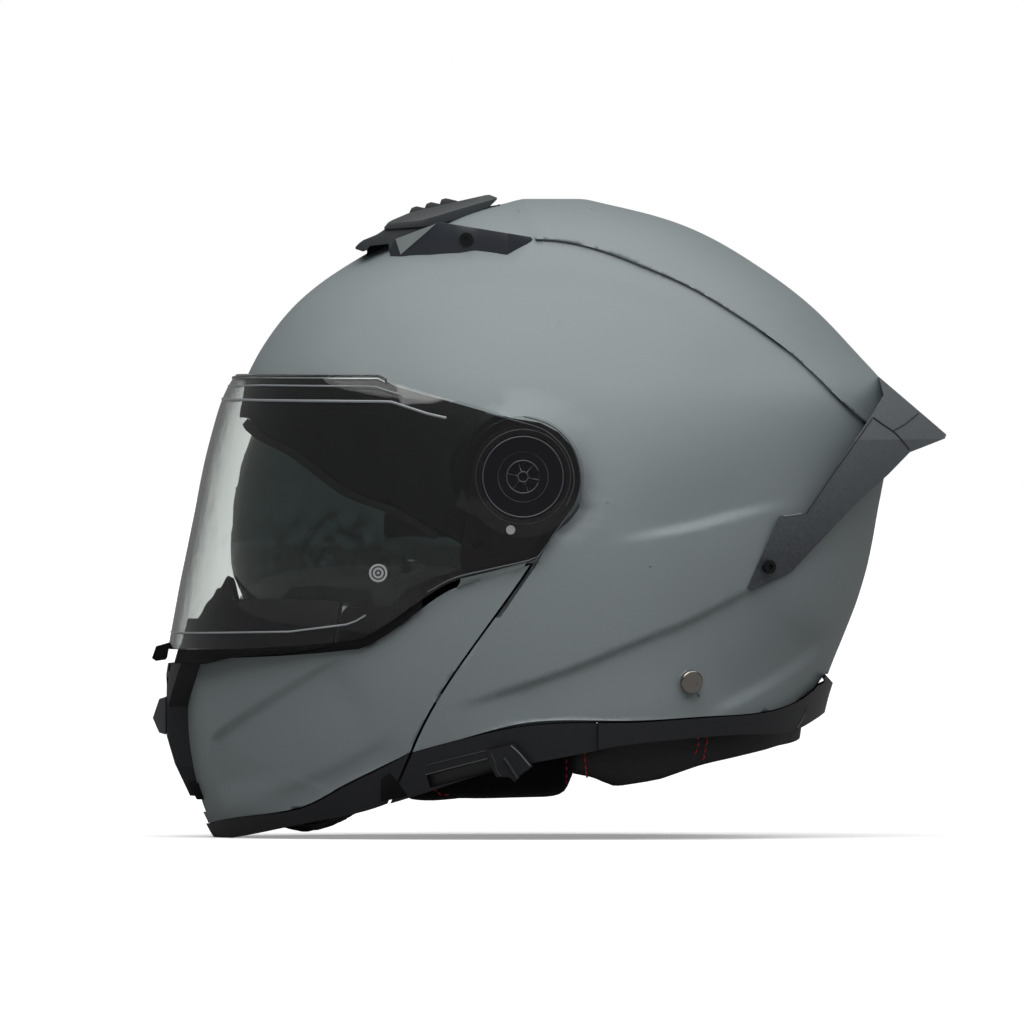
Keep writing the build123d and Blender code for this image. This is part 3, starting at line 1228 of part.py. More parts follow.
def make_buckle_lever():
    """Lever under the buckle that releases the tongue."""
    gap = 2 * FIT_GAP
    width = BUCKLE_WIDTH - 2 * BUCKLE_WALL - gap
    length = BUCKLE_LENGTH - 3 * BUCKLE_LEVER_HEIGHT
    height = BUCKLE_LEVER_HEIGHT - gap
    lever = Box(width, length, height)
    lever = fillet(lever.edges().filter_by(Axis.X), height * 0.45)
    y = -BUCKLE_MIDDLE - BUCKLE_LENGTH / 2 + length / 2 + BUCKLE_LEVER_HEIGHT * 1.7
    z = buckle_level() - (BUCKLE_HEIGHT + BUCKLE_LEVER_HEIGHT) / 2
    return Pos(strap_middle(), y, z) * lever - lever_pin(BUCKLE_WIDTH, RUNNING_GAP)


def make_strap_tongue():
    """Toothed tongue on the right strap, pushed into the buckle."""
    near = BUCKLE_WALL * 2 - BUCKLE_MIDDLE - BUCKLE_LENGTH / 2
    length = TONGUE_WIDTH - FIT_GAP - near
    tongue = Pos(0, near + length / 2, 0) * Box(TONGUE_WIDTH, length, TONGUE_THICKNESS)
    pitch = length / 12
    for step in range(1, 7):
        tooth = Pos(0, near + pitch * step, TONGUE_THICKNESS / 2) * Box(TONGUE_WIDTH * 2, pitch / 2, TONGUE_THICKNESS / 2)
        tongue -= tooth
    return Pos(strap_middle(), 0, buckle_level()) * tongue


def make_pair(make):
    """The left and right copies of a piece in one node."""
    return Compound([make(side).solid() for side in SIDES.values()])


def build_nodes():
    """Every piece by the name of its node."""
    shell = make_outer_shell()
    nodes = {
        "outer_shell": shell,
        "eyeport_gasket": make_eyeport_gasket(),
        "eps_liner": make_eps_liner(),
        "crown_liner": make_crown_liner(),
        "rear_trim": make_rear_trim(),
        "slider_track": make_track(),
        "top_vent_base": make_top_vent_base(shell),
        "top_vent_slider": make_top_vent_slider(),
        "fin_screws": make_fin_screws(),
        "spoiler": make_spoiler(shell),
        "spoiler_screws": make_spoiler_screws(),
        "pivot_bolts": make_pair(make_pivot_bolt),
        "sun_visor_pins": make_sun_visor_pins(),
        "striker_pins": make_strikers(),
        "strap_rivets": make_rivets(),
        "buckle_body": make_buckle_body(),
        "buckle_pin": lever_pin(BUCKLE_WIDTH),
        "buckle_lever": make_buckle_lever(),
        "strap_tongue": make_strap_tongue(),
        "sun_visor_lens": make_sun_visor(),
        "sun_visor_lever": make_lever(),
        "chin_bar_shell": make_chin_bar_shell(),
        "chin_trim": make_chin_trim(),
        "chin_pad": make_chin_pad(),
        "chin_curtain": make_chin_curtain(),
        "chin_vent_housing": make_chin_vent_housing(),
        "chin_vent_shutter": make_chin_vent_shutter(),
        "breath_guard": make_breath_guard(),
        "visor_seal": make_visor_seal(),
        "release_case": make_button_case(),
        "release_button": make_release_button(),
        "hook_pins": make_hook_pins(),
        "face_shield": make_face_shield(),
        "pinlock_pins": make_pinlock_pins(),
        "guide_pins": make_guide_pins(),
        "shield_tab": make_shield_tab(),
    }
    for name, side in SIDES.items():
        nodes[f"cheek_pad_{name}"] = make_cheek_pad(side)
        nodes[f"neck_roll_{name}"] = make_neck_roll(side)
        nodes[f"base_trim_{name}"] = make_base_trim(side)
        nodes[f"top_vent_fin_{name}"] = make_fin(side, shell)
        nodes[f"strap_{name}"] = make_strap(side)
        nodes[f"visor_base_plate_{name}"] = make_base_plate(side)
        nodes[f"hub_cover_{name}"] = make_hub_cover(side)
        nodes[f"latch_hook_{name}"] = make_hook(side)
    return nodes


os.makedirs("parts", exist_ok=True)
for node_name, node_shape in build_nodes().items():
    export_step(node_shape, f"parts/{node_name}.step")
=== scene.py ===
"""A flip-up motorcycle helmet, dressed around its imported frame."""

import json
import logging
import math
from collections.abc import Sequence
from dataclasses import dataclass
from enum import Enum

import bmesh
import bpy
import numpy as np
from mathutils import Matrix, Vector
from mathutils.bvhtree import BVHTree


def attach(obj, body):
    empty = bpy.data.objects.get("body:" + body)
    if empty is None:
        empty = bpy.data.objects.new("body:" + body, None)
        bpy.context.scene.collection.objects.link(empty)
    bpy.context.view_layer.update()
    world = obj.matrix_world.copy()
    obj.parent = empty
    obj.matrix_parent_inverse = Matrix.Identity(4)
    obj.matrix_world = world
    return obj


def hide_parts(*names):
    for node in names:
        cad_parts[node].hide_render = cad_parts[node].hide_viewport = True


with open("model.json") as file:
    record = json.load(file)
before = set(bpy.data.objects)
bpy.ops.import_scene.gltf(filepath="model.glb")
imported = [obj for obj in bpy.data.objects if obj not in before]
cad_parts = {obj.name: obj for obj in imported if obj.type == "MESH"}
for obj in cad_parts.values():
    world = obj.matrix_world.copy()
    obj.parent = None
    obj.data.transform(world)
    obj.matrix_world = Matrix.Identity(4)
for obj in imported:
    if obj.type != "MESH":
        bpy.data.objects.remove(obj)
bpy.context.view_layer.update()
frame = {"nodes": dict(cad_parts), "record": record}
LOG = logging.getLogger("helmet")

PIXEL = 0.00044
PIXEL_ORIGIN = (549.5, 837.0)
WELD = 0.00001
QUARTER_TURN = 90.0
SHARP_PAINT, SHARP_RIB, SHARP_THREAD, SHARP_CLOTH = 34.0, 60.0, 70.0, 80.0
LEFT, RIGHT = -1, 1
SIDES = {"left": LEFT, "right": RIGHT}
SIGHT = 0.4
HUB_PX = (523.0, 475.5)
PIN_PX = (379.0, 571.0)

Color = tuple[float, float, float]
Points = Sequence[tuple[float, float]]


def tag_of(side: int) -> str:
    """Return the word that a piece's name ends in on one side."""
    return "left" if side == LEFT else "right"


def srgb(red: int, green: int, blue: int) -> Color:
    """Turn a screen colour into the linear one that shaders use."""
    return tuple((c / 255.0) ** 2.2 for c in (red, green, blue))


def px_x(px: float) -> float:
    """Place in X, in metres, of a column of the photograph."""
    return (px - PIXEL_ORIGIN[0]) * PIXEL


def px_z(py: float) -> float:
    """Height, in metres, of a row of the photograph."""
    return (PIXEL_ORIGIN[1] - py) * PIXEL


def column(x: float) -> float:
    """Column of the photograph that a place in X lies on."""
    return x / PIXEL + PIXEL_ORIGIN[0]


def level(line: Points, px: float) -> float:
    """Return a line's second number where its first one is px, and past an end that end's."""
    return float(np.interp(px, [p[0] for p in line], [p[1] for p in line]))


class Surface(Enum):
    """The fine relief that a finish has."""

    GRAIN = "moulded grain"
    PEEL = "sprayed paint"
    HIDE = "grained hide"
    KNIT = "brushed knit"
    WEB = "woven webbing"
    BEAD = "bead foam"
    BRUSHED = "brushed metal"


class Sunk(Enum):
    """Which side of a moulded line lies lower, seen along the line."""

    UNDER = 1.0
    OVER = -1.0


@dataclass
class Graph:
    """A node tree that is being wired."""

    tree: bpy.types.NodeTree

    def add(self, kind: str, **settings: object) -> bpy.types.Node:
        """Add a node.

        Args:
            kind: The node's type, without its ShaderNode prefix.
            settings: Properties of the node, and values of its sockets by name, with _ for a space.

        Returns:
            The new node.
        """
        node = self.tree.nodes.new("ShaderNode" + kind)
        for key, value in settings.items():
            if hasattr(node, key):
                setattr(node, key, value)
            else:
                self.feed(node.inputs[key.replace("_", " ")], value)
        return node

    def feed(self, socket: bpy.types.NodeSocket, value: object) -> None:
        """Give a socket a value or a link.

        Args:
            socket: The socket.
            value: A plain value, or another node's output.
        """
        if isinstance(value, bpy.types.NodeSocket):
            self.tree.links.new(value, socket)
        else:
            socket.default_value = value

    def math(
        self, operation: str, first: object, second: object = 0.0, third: object = 0.0
    ) -> bpy.types.NodeSocket:
        """Add a Math node.

        Args:
            operation: What the node works out.
            first: Its first value or link.
            second: Its second one.
            third: Its third one, where the operation has it.

        Returns:
            The node's output.
        """
        node = self.add("Math", operation=operation)
        for socket, value in zip(node.inputs, (first, second, third)):
            self.feed(socket, value)
        return node.outputs[0]


@dataclass(frozen=True)
class ReliefGroup:
    """A shared shader group that puts out the height and mask of one kind of relief."""

    surface: Surface
    detail: float = 3.0
    roughness: float = 0.6
    hide_depth: float = 0.25
    bead_top: float = 0.6
    stretch: float = 0.04
    knit_skew: float = 1.0
    web_skew: float = 0.35

    def tree(self) -> bpy.types.NodeTree:
        """Return the group's node tree, made at its first use."""
        found = bpy.data.node_groups.get(self.surface.value)
        return found or self.make()

    def make(self) -> bpy.types.NodeTree:
        """Build the group with its inputs and outputs.

        Returns:
            The new node tree.
        """
        tree = bpy.data.node_groups.new(self.surface.value, "ShaderNodeTree")
        tree.interface.new_socket("Scale", in_out="INPUT", socket_type="NodeSocketFloat")
        tree.interface.new_socket("Height", in_out="OUTPUT", socket_type="NodeSocketFloat")
        tree.interface.new_socket("Mask", in_out="OUTPUT", socket_type="NodeSocketFloat")
        graph = Graph(tree)
        place = graph.add("TexCoord").outputs["Object"]
        entry = tree.nodes.new("NodeGroupInput")
        leave = tree.nodes.new("NodeGroupOutput")
        height, mask = self.relief(graph, place, entry.outputs["Scale"])
        graph.feed(leave.inputs["Height"], height)
        graph.feed(leave.inputs["Mask"], mask)
        return tree

    def relief(
        self, graph: Graph, place: bpy.types.NodeSocket, scale: bpy.types.NodeSocket
    ) -> tuple[bpy.types.NodeSocket, bpy.types.NodeSocket]:
        """Wire the relief itself.

        Args:
            graph: The group's graph.
            place: Object coordinates.
            scale: How many features lie in a metre.

        Returns:
            The height and the mask outputs.
        """
        noise = graph.add("TexNoise", Vector=place, Scale=scale, Detail=self.detail, Roughness=self.roughness)
        fine = noise.outputs["Fac"]
        if self.surface is Surface.HIDE:
            cells = graph.add("TexVoronoi", feature="DISTANCE_TO_EDGE", Vector=place, Scale=scale)
            return graph.math("MINIMUM", cells.outputs["Distance"], self.hide_depth), fine
        if self.surface is Surface.BEAD:
            cells = graph.add("TexVoronoi", Vector=place, Scale=scale)
            return graph.math("SUBTRACT", self.bead_top, cells.outputs["Distance"]), fine
        if self.surface in (Surface.KNIT, Surface.WEB):
            return self.woven(graph, place, scale), fine
        if self.surface is Surface.BRUSHED:
            stretched = graph.add("Mapping", Vector=place, Scale=(1.0, self.stretch, 1.0))
            lines = graph.add("TexNoise", Vector=stretched.outputs[0], Scale=scale, Detail=2.0)
            return lines.outputs["Fac"], lines.outputs["Fac"]
        return fine, fine

    def woven(
        self, graph: Graph, place: bpy.types.NodeSocket, scale: bpy.types.NodeSocket
    ) -> bpy.types.NodeSocket:
        """Wire threads that cross.

        Args:
            graph: The group's graph.
            place: Object coordinates.
            scale: How close the threads lie.

        Returns:
            The threads' height.
        """
        axes = graph.add("SeparateXYZ", Vector=place)
        x, y, z = axes.outputs
        skew = self.knit_skew if self.surface is Surface.KNIT else self.web_skew
        warp = graph.math("MULTIPLY", graph.math("MULTIPLY_ADD", z, skew, x), scale)
        weft = graph.math("MULTIPLY", graph.math("MULTIPLY_ADD", z, -skew, y), scale)
        crossed = graph.math("MULTIPLY", graph.math("SINE", warp), graph.math("SINE", weft))
        return graph.math("MULTIPLY_ADD", crossed, 0.5, 0.5)


@dataclass(frozen=True)
class Finish:
    """An opaque finish, with patches of colour and fine relief, or with a painted-light gradient by height in
    place of the patches.
    """

    name: str
    light: Color
    dark: Color
    rough: tuple[float, float]
    surface: Surface = Surface.GRAIN
    scale: float = 1800.0
    depth: float = 0.000012
    metallic: float = 0.0
    coat: float = 0.0
    coat_rough: float = 0.2
    sheen: float = 0.0
    specular: float = 0.5
    patches: float = 14.0
    patch_share: float = 0.65
    relief_share: float = 0.35
    # fade: foot and top heights of a painted-light gradient, dark at the foot and light at the top, as if lit
    # from above.
    fade: tuple[float, ...] = ()

    def material(self) -> bpy.types.Material:
        """Return the finish as a material, made at its first use."""
        return bpy.data.materials.get(self.name) or self.make()

    def make(self) -> bpy.types.Material:
        """Wire the material.

        Returns:
            The new material.
        """
        made = bpy.data.materials.new(self.name)
        made.use_nodes = True
        graph = Graph(made.node_tree)
        shader = made.node_tree.nodes["Principled BSDF"]
        relief = graph.add("Group", node_tree=ReliefGroup(self.surface).tree(), Scale=self.scale)
        place = graph.add("TexCoord").outputs["Object"]
        patch = graph.add("TexNoise", Vector=place, Scale=self.patches, Detail=2.0).outputs["Fac"]
        # With fade, painted light replaces the patches: the colour runs from dark below to light above.
        if self.fade:
            height = graph.add("SeparateXYZ", Vector=place).outputs["Z"]
            foot, top = self.fade
            patch = graph.math("MULTIPLY", graph.math("SUBTRACT", height, foot), 1.0 / (top - foot))
            patch = graph.math("MINIMUM", graph.math("MAXIMUM", patch, 0.0), 1.0)
        patch = graph.math("MULTIPLY", patch, self.patch_share)
        blend = graph.math("MULTIPLY_ADD", relief.outputs["Mask"], self.relief_share, patch)
        tone = graph.add("Mix", data_type="RGBA")
        graph.feed(tone.inputs["Factor"], blend)
        graph.feed(tone.inputs[6], (*self.dark, 1.0))
        graph.feed(tone.inputs[7], (*self.light, 1.0))
        graph.feed(shader.inputs["Base Color"], tone.outputs[2])
        low, high = self.rough
        graph.feed(shader.inputs["Roughness"], graph.math("MULTIPLY_ADD", blend, high - low, low))
        bump = graph.add("Bump", Strength=1.0, Distance=self.depth, Height=relief.outputs["Height"])
        graph.feed(shader.inputs["Normal"], bump.outputs[0])
        self.set_plain(shader)
        return made

    def set_plain(self, shader: bpy.types.Node) -> None:
        """Set the values that are the same all over the surface.

        Args:
            shader: The material's shader.
        """
        shader.inputs["Metallic"].default_value = self.metallic
        shader.inputs["Coat Weight"].default_value = self.coat
        shader.inputs["Coat Roughness"].default_value = self.coat_rough
        shader.inputs["Sheen Weight"].default_value = self.sheen
        shader.inputs["Specular IOR Level"].default_value = self.specular


@dataclass(frozen=True)
class ClearFinish:
    """A see-through moulding, clear or tinted, with a faint film of handling on it."""

    name: str
    tint: Color
    rough: tuple[float, float] = (0.0, 0.02)
    ior: float = 1.45
    shadow: float = 0.3
    specular: float = 0.25
    film: float = 22.0

    def material(self) -> bpy.types.Material:
        """Return the finish as a material, made at its first use."""
        return bpy.data.materials.get(self.name) or self.make()

    def make(self) -> bpy.types.Material:
        """Wire the material.

        Returns:
            The new material.
        """
        made = bpy.data.materials.new(self.name)
        made.use_nodes = True
        graph = Graph(made.node_tree)
        shader = made.node_tree.nodes["Principled BSDF"]
        place = graph.add("TexCoord").outputs["Object"]
        film = graph.add("TexNoise", Vector=place, Scale=self.film, Detail=4.0).outputs["Fac"]
        low, high = self.rough
        graph.feed(shader.inputs["Roughness"], graph.math("MULTIPLY_ADD", film, high - low, low))
        shader.inputs["Base Color"].default_value = (*self.tint, 1.0)
        shader.inputs["IOR"].default_value = self.ior
        shader.inputs["Transmission Weight"].default_value = 1.0
        shader.inputs["Specular IOR Level"].default_value = self.specular
        shade = graph.add("LightPath").outputs["Is Shadow Ray"]
        graph.feed(shader.inputs["Alpha"], graph.math("MULTIPLY_ADD", shade, self.shadow - 1.0, 1.0))
        return made


FINISHES: dict[str, Finish | ClearFinish] = {
    "shell_paint": Finish(
        "Satin grey paint", srgb(122, 130, 132), srgb(115, 123, 125), (0.44, 0.54), Surface.PEEL, 700.0,
        depth=0.00001,
    ),
    "dark_paint": Finish(
        "Gloss dark paint", srgb(46, 50, 56), srgb(37, 40, 46), (0.26, 0.36), Surface.PEEL, 700.0, 0.000008,
        coat=0.3,
    ),
    "trim_black": Finish("Moulded black", srgb(39, 40, 43), srgb(29, 30, 32), (0.38, 0.52), specular=0.35),
    "vent_grey": Finish(
        "Fine grey moulding", srgb(66, 69, 71), srgb(52, 55, 57), (0.42, 0.55), specular=0.35,
    ),
    "hub_black": Finish("Gloss black", srgb(20, 20, 25), srgb(13, 13, 17), (0.16, 0.26), depth=0.000004),
    "rubber": Finish("Seal rubber", srgb(24, 24, 25), srgb(17, 17, 18), (0.6, 0.75), specular=0.2),
    "foam": Finish("Bead foam", srgb(40, 40, 41), srgb(24, 24, 25), (0.8, 0.92), Surface.BEAD, 260.0, 0.0003),
    "lining": Finish(
        "Brushed knit", srgb(22, 23, 28), srgb(12, 13, 17), (0.85, 0.95), Surface.KNIT, 3600.0, 0.0002,
        sheen=0.1, specular=0.2,
    ),
    "neck_fabric": Finish(
        "Grained neck hide", srgb(27, 28, 33), srgb(18, 19, 23), (0.5, 0.66), Surface.HIDE, 700.0, 0.0004
    ),
    "webbing": Finish(
        "Black webbing", srgb(32, 33, 35), srgb(16, 17, 18), (0.7, 0.85), Surface.WEB, 2200.0, 0.0005,
    ),
    "steel": Finish(
        "Brushed steel", srgb(196, 196, 194), srgb(168, 168, 167), (0.26, 0.42), Surface.BRUSHED, 900.0,
        metallic=1.0,
    ),
    "chrome": Finish("Polished rivet", srgb(150, 146, 139), srgb(126, 122, 116), (0.12, 0.24), metallic=1.0),
    "pin_silver": Finish("Silvery pin", srgb(205, 207, 208), srgb(180, 182, 184), (0.16, 0.28), metallic=0.6),
    "red_plastic": Finish("Signal red", srgb(176, 26, 22), srgb(150, 16, 14), (0.34, 0.46)),
    "clear_visor": ClearFinish("Clear visor", (0.84, 0.87, 0.85), shadow=0.7),
    "smoke_visor": ClearFinish("Smoke visor", (0.13, 0.165, 0.165), (0.01, 0.04), shadow=0.8),
}
SILVER = Finish("Silver foil", srgb(186, 196, 195), srgb(158, 168, 168), (0.24, 0.36), metallic=0.7)
RED_THREAD = Finish("Red thread", srgb(214, 44, 50), srgb(176, 24, 30), (0.6, 0.8), Surface.WEB, 6000.0)
MAROON = Finish("Maroon plate", srgb(30, 9, 14), srgb(12, 6, 9), (0.3, 0.42), specular=0.2)
# Black for the shell's inner faces, the zone under the face shield and the shield's tab; also painted shade
# on the slabs that close gaps and on the plate's slots.
SHADE_BLACK = Finish("Black and painted shade", srgb(16, 17, 19), srgb(9, 10, 12), (0.55, 0.7), specular=0.12)
# The spoiler's paint with painted light: lighter at its top and darker towards its foot, as overhead light
# would fall.
SPOILER_PAINTED_LIGHT = Finish(
    "Spoiler paint with painted top light", srgb(122, 128, 131), srgb(38, 41, 50), (0.34, 0.46), Surface.PEEL, 700.0, 0.00001,
    specular=0.4, fade=(px_z(560), px_z(392)),
)
# The slider track's own grey, also used as painted highlight: lighter lines along the lever's blade and fold,
# the slot's top edge and the rear trim's rib.
TRACK_GREY_AND_HIGHLIGHT = Finish("Slider strip and painted edge highlight", srgb(58, 59, 60), srgb(44, 45, 46), (0.35, 0.5))
# Painted shade: thin dark lines in the spoiler's folds. The same dark draws the rings on the insert pin and
# the trim's seam.
FOLD_DARK = Finish("Fold shade", srgb(38, 41, 46), srgb(30, 33, 38), (0.4, 0.5))
# Painted highlight: light lines along the spoiler's notch and the lever's rim.
FOLD_HIGHLIGHT = Finish("Painted fold highlight", srgb(120, 126, 128), srgb(96, 102, 104), (0.3, 0.4))
# Painted shade: a dark block in the top intake's mouth, where the opening shows only shade.
MOUTH_SHADE = Finish("Painted intake mouth shade", srgb(20, 25, 33), srgb(14, 18, 24), (0.5, 0.65), specular=0.15)
# Painted highlight: grey lines on the hub's rings and spokes and on the shield's rims, where their edges
# would catch light.
RING_HIGHLIGHT = Finish("Painted ring highlight", srgb(92, 94, 99), srgb(54, 55, 60), (0.2, 0.3), Surface.PEEL, 60.0)
# Painted highlight: light grey lines on the clear shield's ribs, standing in for the light that its edges
# catch.
VISOR_RIB_HIGHLIGHT = Finish(
    "Painted visor rib highlight", srgb(150, 155, 158), srgb(96, 100, 103), (0.1, 0.2), Surface.PEEL, 60.0, coat=0.5,
)
BLACK_SCREW = Finish("Blackened screw", srgb(26, 27, 29), srgb(18, 19, 20), (0.3, 0.45), metallic=0.4)


def merged(node: str) -> bmesh.types.BMesh:
    """Copy a CAD node's mesh with its loose triangles joined.

    Args:
        node: The node's name.

    Returns:
        The new bmesh.
    """
    bm = bmesh.new()
    bm.from_mesh(frame["nodes"][node].data)
    bmesh.ops.remove_doubles(bm, verts=bm.verts, dist=WELD)
    return bm


def smooth(bm: bmesh.types.BMesh, verts: Sequence[bmesh.types.BMVert], rounds: int) -> None:
    """Move vertices towards their neighbours' middle, some times over.

    Args:
        bm: The mesh.
        verts: The vertices that move.
        rounds: How many times they move.
    """
    for _ in range(rounds):
        bmesh.ops.smooth_vert(bm, verts=verts, factor=0.5, use_axis_x=True, use_axis_y=True, use_axis_z=True)


def split_faces(bm: bmesh.types.BMesh) -> None:
    """Cut the faces of more than three corners into triangles."""
    bmesh.ops.triangulate(bm, faces=[f for f in bm.faces if len(f.verts) > 3])


def face_side(bm: bmesh.types.BMesh, side: int) -> None:
    """Turn an open plate's faces towards the rider's left or right.

    Args:
        bm: The plate's mesh.
        side: LEFT or RIGHT.
    """
    bmesh.ops.recalc_face_normals(bm, faces=bm.faces)
    if sum(f.normal.y for f in bm.faces) * side < 0:
        bmesh.ops.reverse_faces(bm, faces=bm.faces)


def add_piece(
    bm: bmesh.types.BMesh,
    name: str,
    body: str,
    slot: str,
    finish: Finish | ClearFinish | None = None,
    stands_for: Sequence[str] = (),
    sharp: float = 32.0,
) -> bpy.types.Object:
    """Turn a bmesh into a piece of the model.

    Args:
        bm: The piece's shape, in metres in the shared frame. It is freed.
        name: The piece's name.
        body: The CAD body that carries it.
        slot: The material slot that it takes its finish from.
        finish: A finish of its own, where the slot's isn't the one.
        stands_for: The CAD nodes that it replaces.
        sharp: Edges that turn by more degrees stay sharp.

    Returns:
        The new object.
    """
    mesh = bpy.data.meshes.new(name)
    bm.to_mesh(mesh)
    bm.free()
    mesh.shade_smooth()
    mesh.set_sharp_from_angle(angle=math.radians(sharp))
    piece = bpy.data.objects.new(name, mesh)
    bpy.context.scene.collection.objects.link(piece)
    mesh.materials.append((finish or FINISHES[slot]).material())
    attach(piece, body)
    if stands_for:
        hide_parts(*stands_for)
    LOG.info("%s: %d faces", name, len(mesh.polygons))
    return piece


def sweep(
    bm: bmesh.types.BMesh,
    path: Sequence[Vector],
    wide: float,
    high: float,
    up: Sequence[Vector],
    steps: int = 8,
) -> None:
    """Draw an oval section along a path, and close both ends.

    Args:
        bm: Where the sweep is added.
        path: The points that the section's centre goes through.
        wide: Half the section's width, in metres.
        high: Half its height, along up.
        up: The direction that the section's top faces at each point.
        steps: How many sides the section has.
    """
    made = bmesh.ops.create_circle(bm, cap_ends=False, segments=steps, radius=1.0)
    ring = made["verts"]
    first = list({e for v in ring for e in v.link_edges})
    last = first
    before = Matrix.Identity(4)
    for i, point in enumerate(path):
        along = (path[min(i + 1, len(path) - 1)] - path[max(i - 1, 0)]).normalized()
        side = along.cross(up[i]).normalized()
        top = side.cross(along).normalized()
        here = Matrix.Identity(4)
        for row in range(3):
            here[row][0], here[row][1] = side[row] * wide, top[row] * high
            here[row][2], here[row][3] = along[row], point[row]
        if i:
            grown = bmesh.ops.extrude_edge_only(bm, edges=last)["geom"]
            ring = [g for g in grown if isinstance(g, bmesh.types.BMVert)]
            edges = [g for g in grown if isinstance(g, bmesh.types.BMEdge)]
            last = [e for e in edges if e.verts[0] in ring and e.verts[1] in ring]
        bmesh.ops.transform(bm, matrix=here @ before.inverted(), verts=ring)
        before = here
    bmesh.ops.holes_fill(bm, edges=first + last, sides=steps)


def smooth_line(points: Sequence[Sequence[float]], steps: int) -> list[Vector]:
    """Draw a smooth line through points.

    Args:
        points: The points, of two or three numbers.
        steps: How many short runs each gap gets.

    Returns:
        The line's points, the first and last ones among them.
    """
    knots = [Vector(p) for p in points]
    knots = [2 * knots[0] - knots[1], *knots, 2 * knots[-1] - knots[-2]]
    line = []
    for a, b, c, d in zip(knots, knots[1:], knots[2:], knots[3:]):
        for i in range(steps):
            t = i / steps
            line.append(0.5 * (
                2 * b + (c - a) * t
                + (2 * a - 5 * b + 4 * c - d) * t**2
                + (3 * b - a - 3 * c + d) * t**3
            ))
    return [*line, knots[-2]]


@dataclass
class Skin:
    """The outside of one CAD node, that details are laid on."""

    node: str

    def __post_init__(self) -> None:
        """Build the search tree from the node's mesh."""
        bm = merged(self.node)
        self.tree = BVHTree.FromBMesh(bm)
        bm.free()

    def touch(self, start: Vector, heading: Vector) -> tuple[Vector, Vector] | None:
        """Find where a ray meets the node.

        Args:
            start: Where the ray starts.
            heading: The ray's direction.

        Returns:
            The point and the surface's outward direction there, or None where it misses.
        """
        point, normal, _, _ = self.tree.ray_cast(start, heading)
        if point is None:
            return None
        return point, normal if normal.dot(heading) < 0 else -normal

    def side(self, x: float, z: float, side: int) -> tuple[Vector, Vector] | None:
        """Find the skin at a place of the side view, on the rider's left or right."""
        return self.touch(Vector((x, side * SIGHT, z)), Vector((0.0, -side, 0.0)))


@dataclass(frozen=True)
class Crease:
    """A moulded line: a step down on one side that eases back out."""

    points: Points
    depth: float
    step: float
    fade: float
    sunk: Sunk
    ends: float = 0.02
    runs: int = 6

    def sink(self, x: np.ndarray, z: np.ndarray) -> np.ndarray:
        """Work out how deep each place of the skin is pressed in.

        Args:
            x: Places in X.
            z: Heights.

        Returns:
            The depths, in metres.
        """
        line = [(px_x(p.x), px_z(p.y)) for p in smooth_line(self.points, self.runs)]
        nearest = np.full(x.shape, np.inf)
        signed = np.zeros(x.shape)
        walked = np.zeros(x.shape)
        total = 0.0
        for (ax, az), (bx, bz) in zip(line, line[1:]):
            length = math.hypot(bx - ax, bz - az)
            ux, uz = (bx - ax) / length, (bz - az) / length
            t = np.clip((x - ax) * ux + (z - az) * uz, 0.0, length)
            dx, dz = x - ax - t * ux, z - az - t * uz
            away = np.hypot(dx, dz)
            closer = away < nearest
            nearest = np.where(closer, away, nearest)
            signed = np.where(closer, np.sign(dx * uz - dz * ux) * away, signed)
            walked = np.where(closer, total + t, walked)
            total += length
        signed = signed * self.sunk.value
        rise = self.ease(signed / self.step + 0.5)
        ends = self.ease(walked / self.ends) * self.ease((total - walked) / self.ends)
        return self.depth * rise * ends * np.exp(-((np.maximum(signed, 0.0) / self.fade) ** 2))

    @staticmethod
    def ease(t: np.ndarray) -> np.ndarray:
        """Ease from 0 to 1."""
        t = np.clip(t, 0.0, 1.0)
        return t * t * (3.0 - 2.0 * t)


VISOR_OUTLINE: Points = (
    (60, 379), (236, 379), (262, 377), (380, 377), (395, 386), (450, 401), (500, 415), (520, 418.6),
    (540, 421.8), (558, 431), (571, 445), (579, 463), (581, 482), (576, 502), (569, 512), (555, 531),
    (535, 558), (490, 570), (452, 579), (423, 595), (380, 626.5), (362, 636), (290, 644), (200, 648),
    (60, 652), (60, 379),
)


def inside(x: float, z: float, outline: Points) -> bool:
    """Tell whether a place of the side view lies inside a closed outline.

    Args:
        x: The place in X, in metres.
        z: Its height.
        outline: The outline's places in the photograph, the first one again at the end.

    Returns:
        Whether it lies inside.
    """
    crossings = 0
    for (ax, ay), (bx, by) in zip(outline, outline[1:]):
        az, bz = px_z(ay), px_z(by)
        if (az > z) != (bz > z) and x < px_x(ax) + (z - az) / (bz - az) * (px_x(bx) - px_x(ax)):
            crossings += 1
    return crossings % 2 == 1


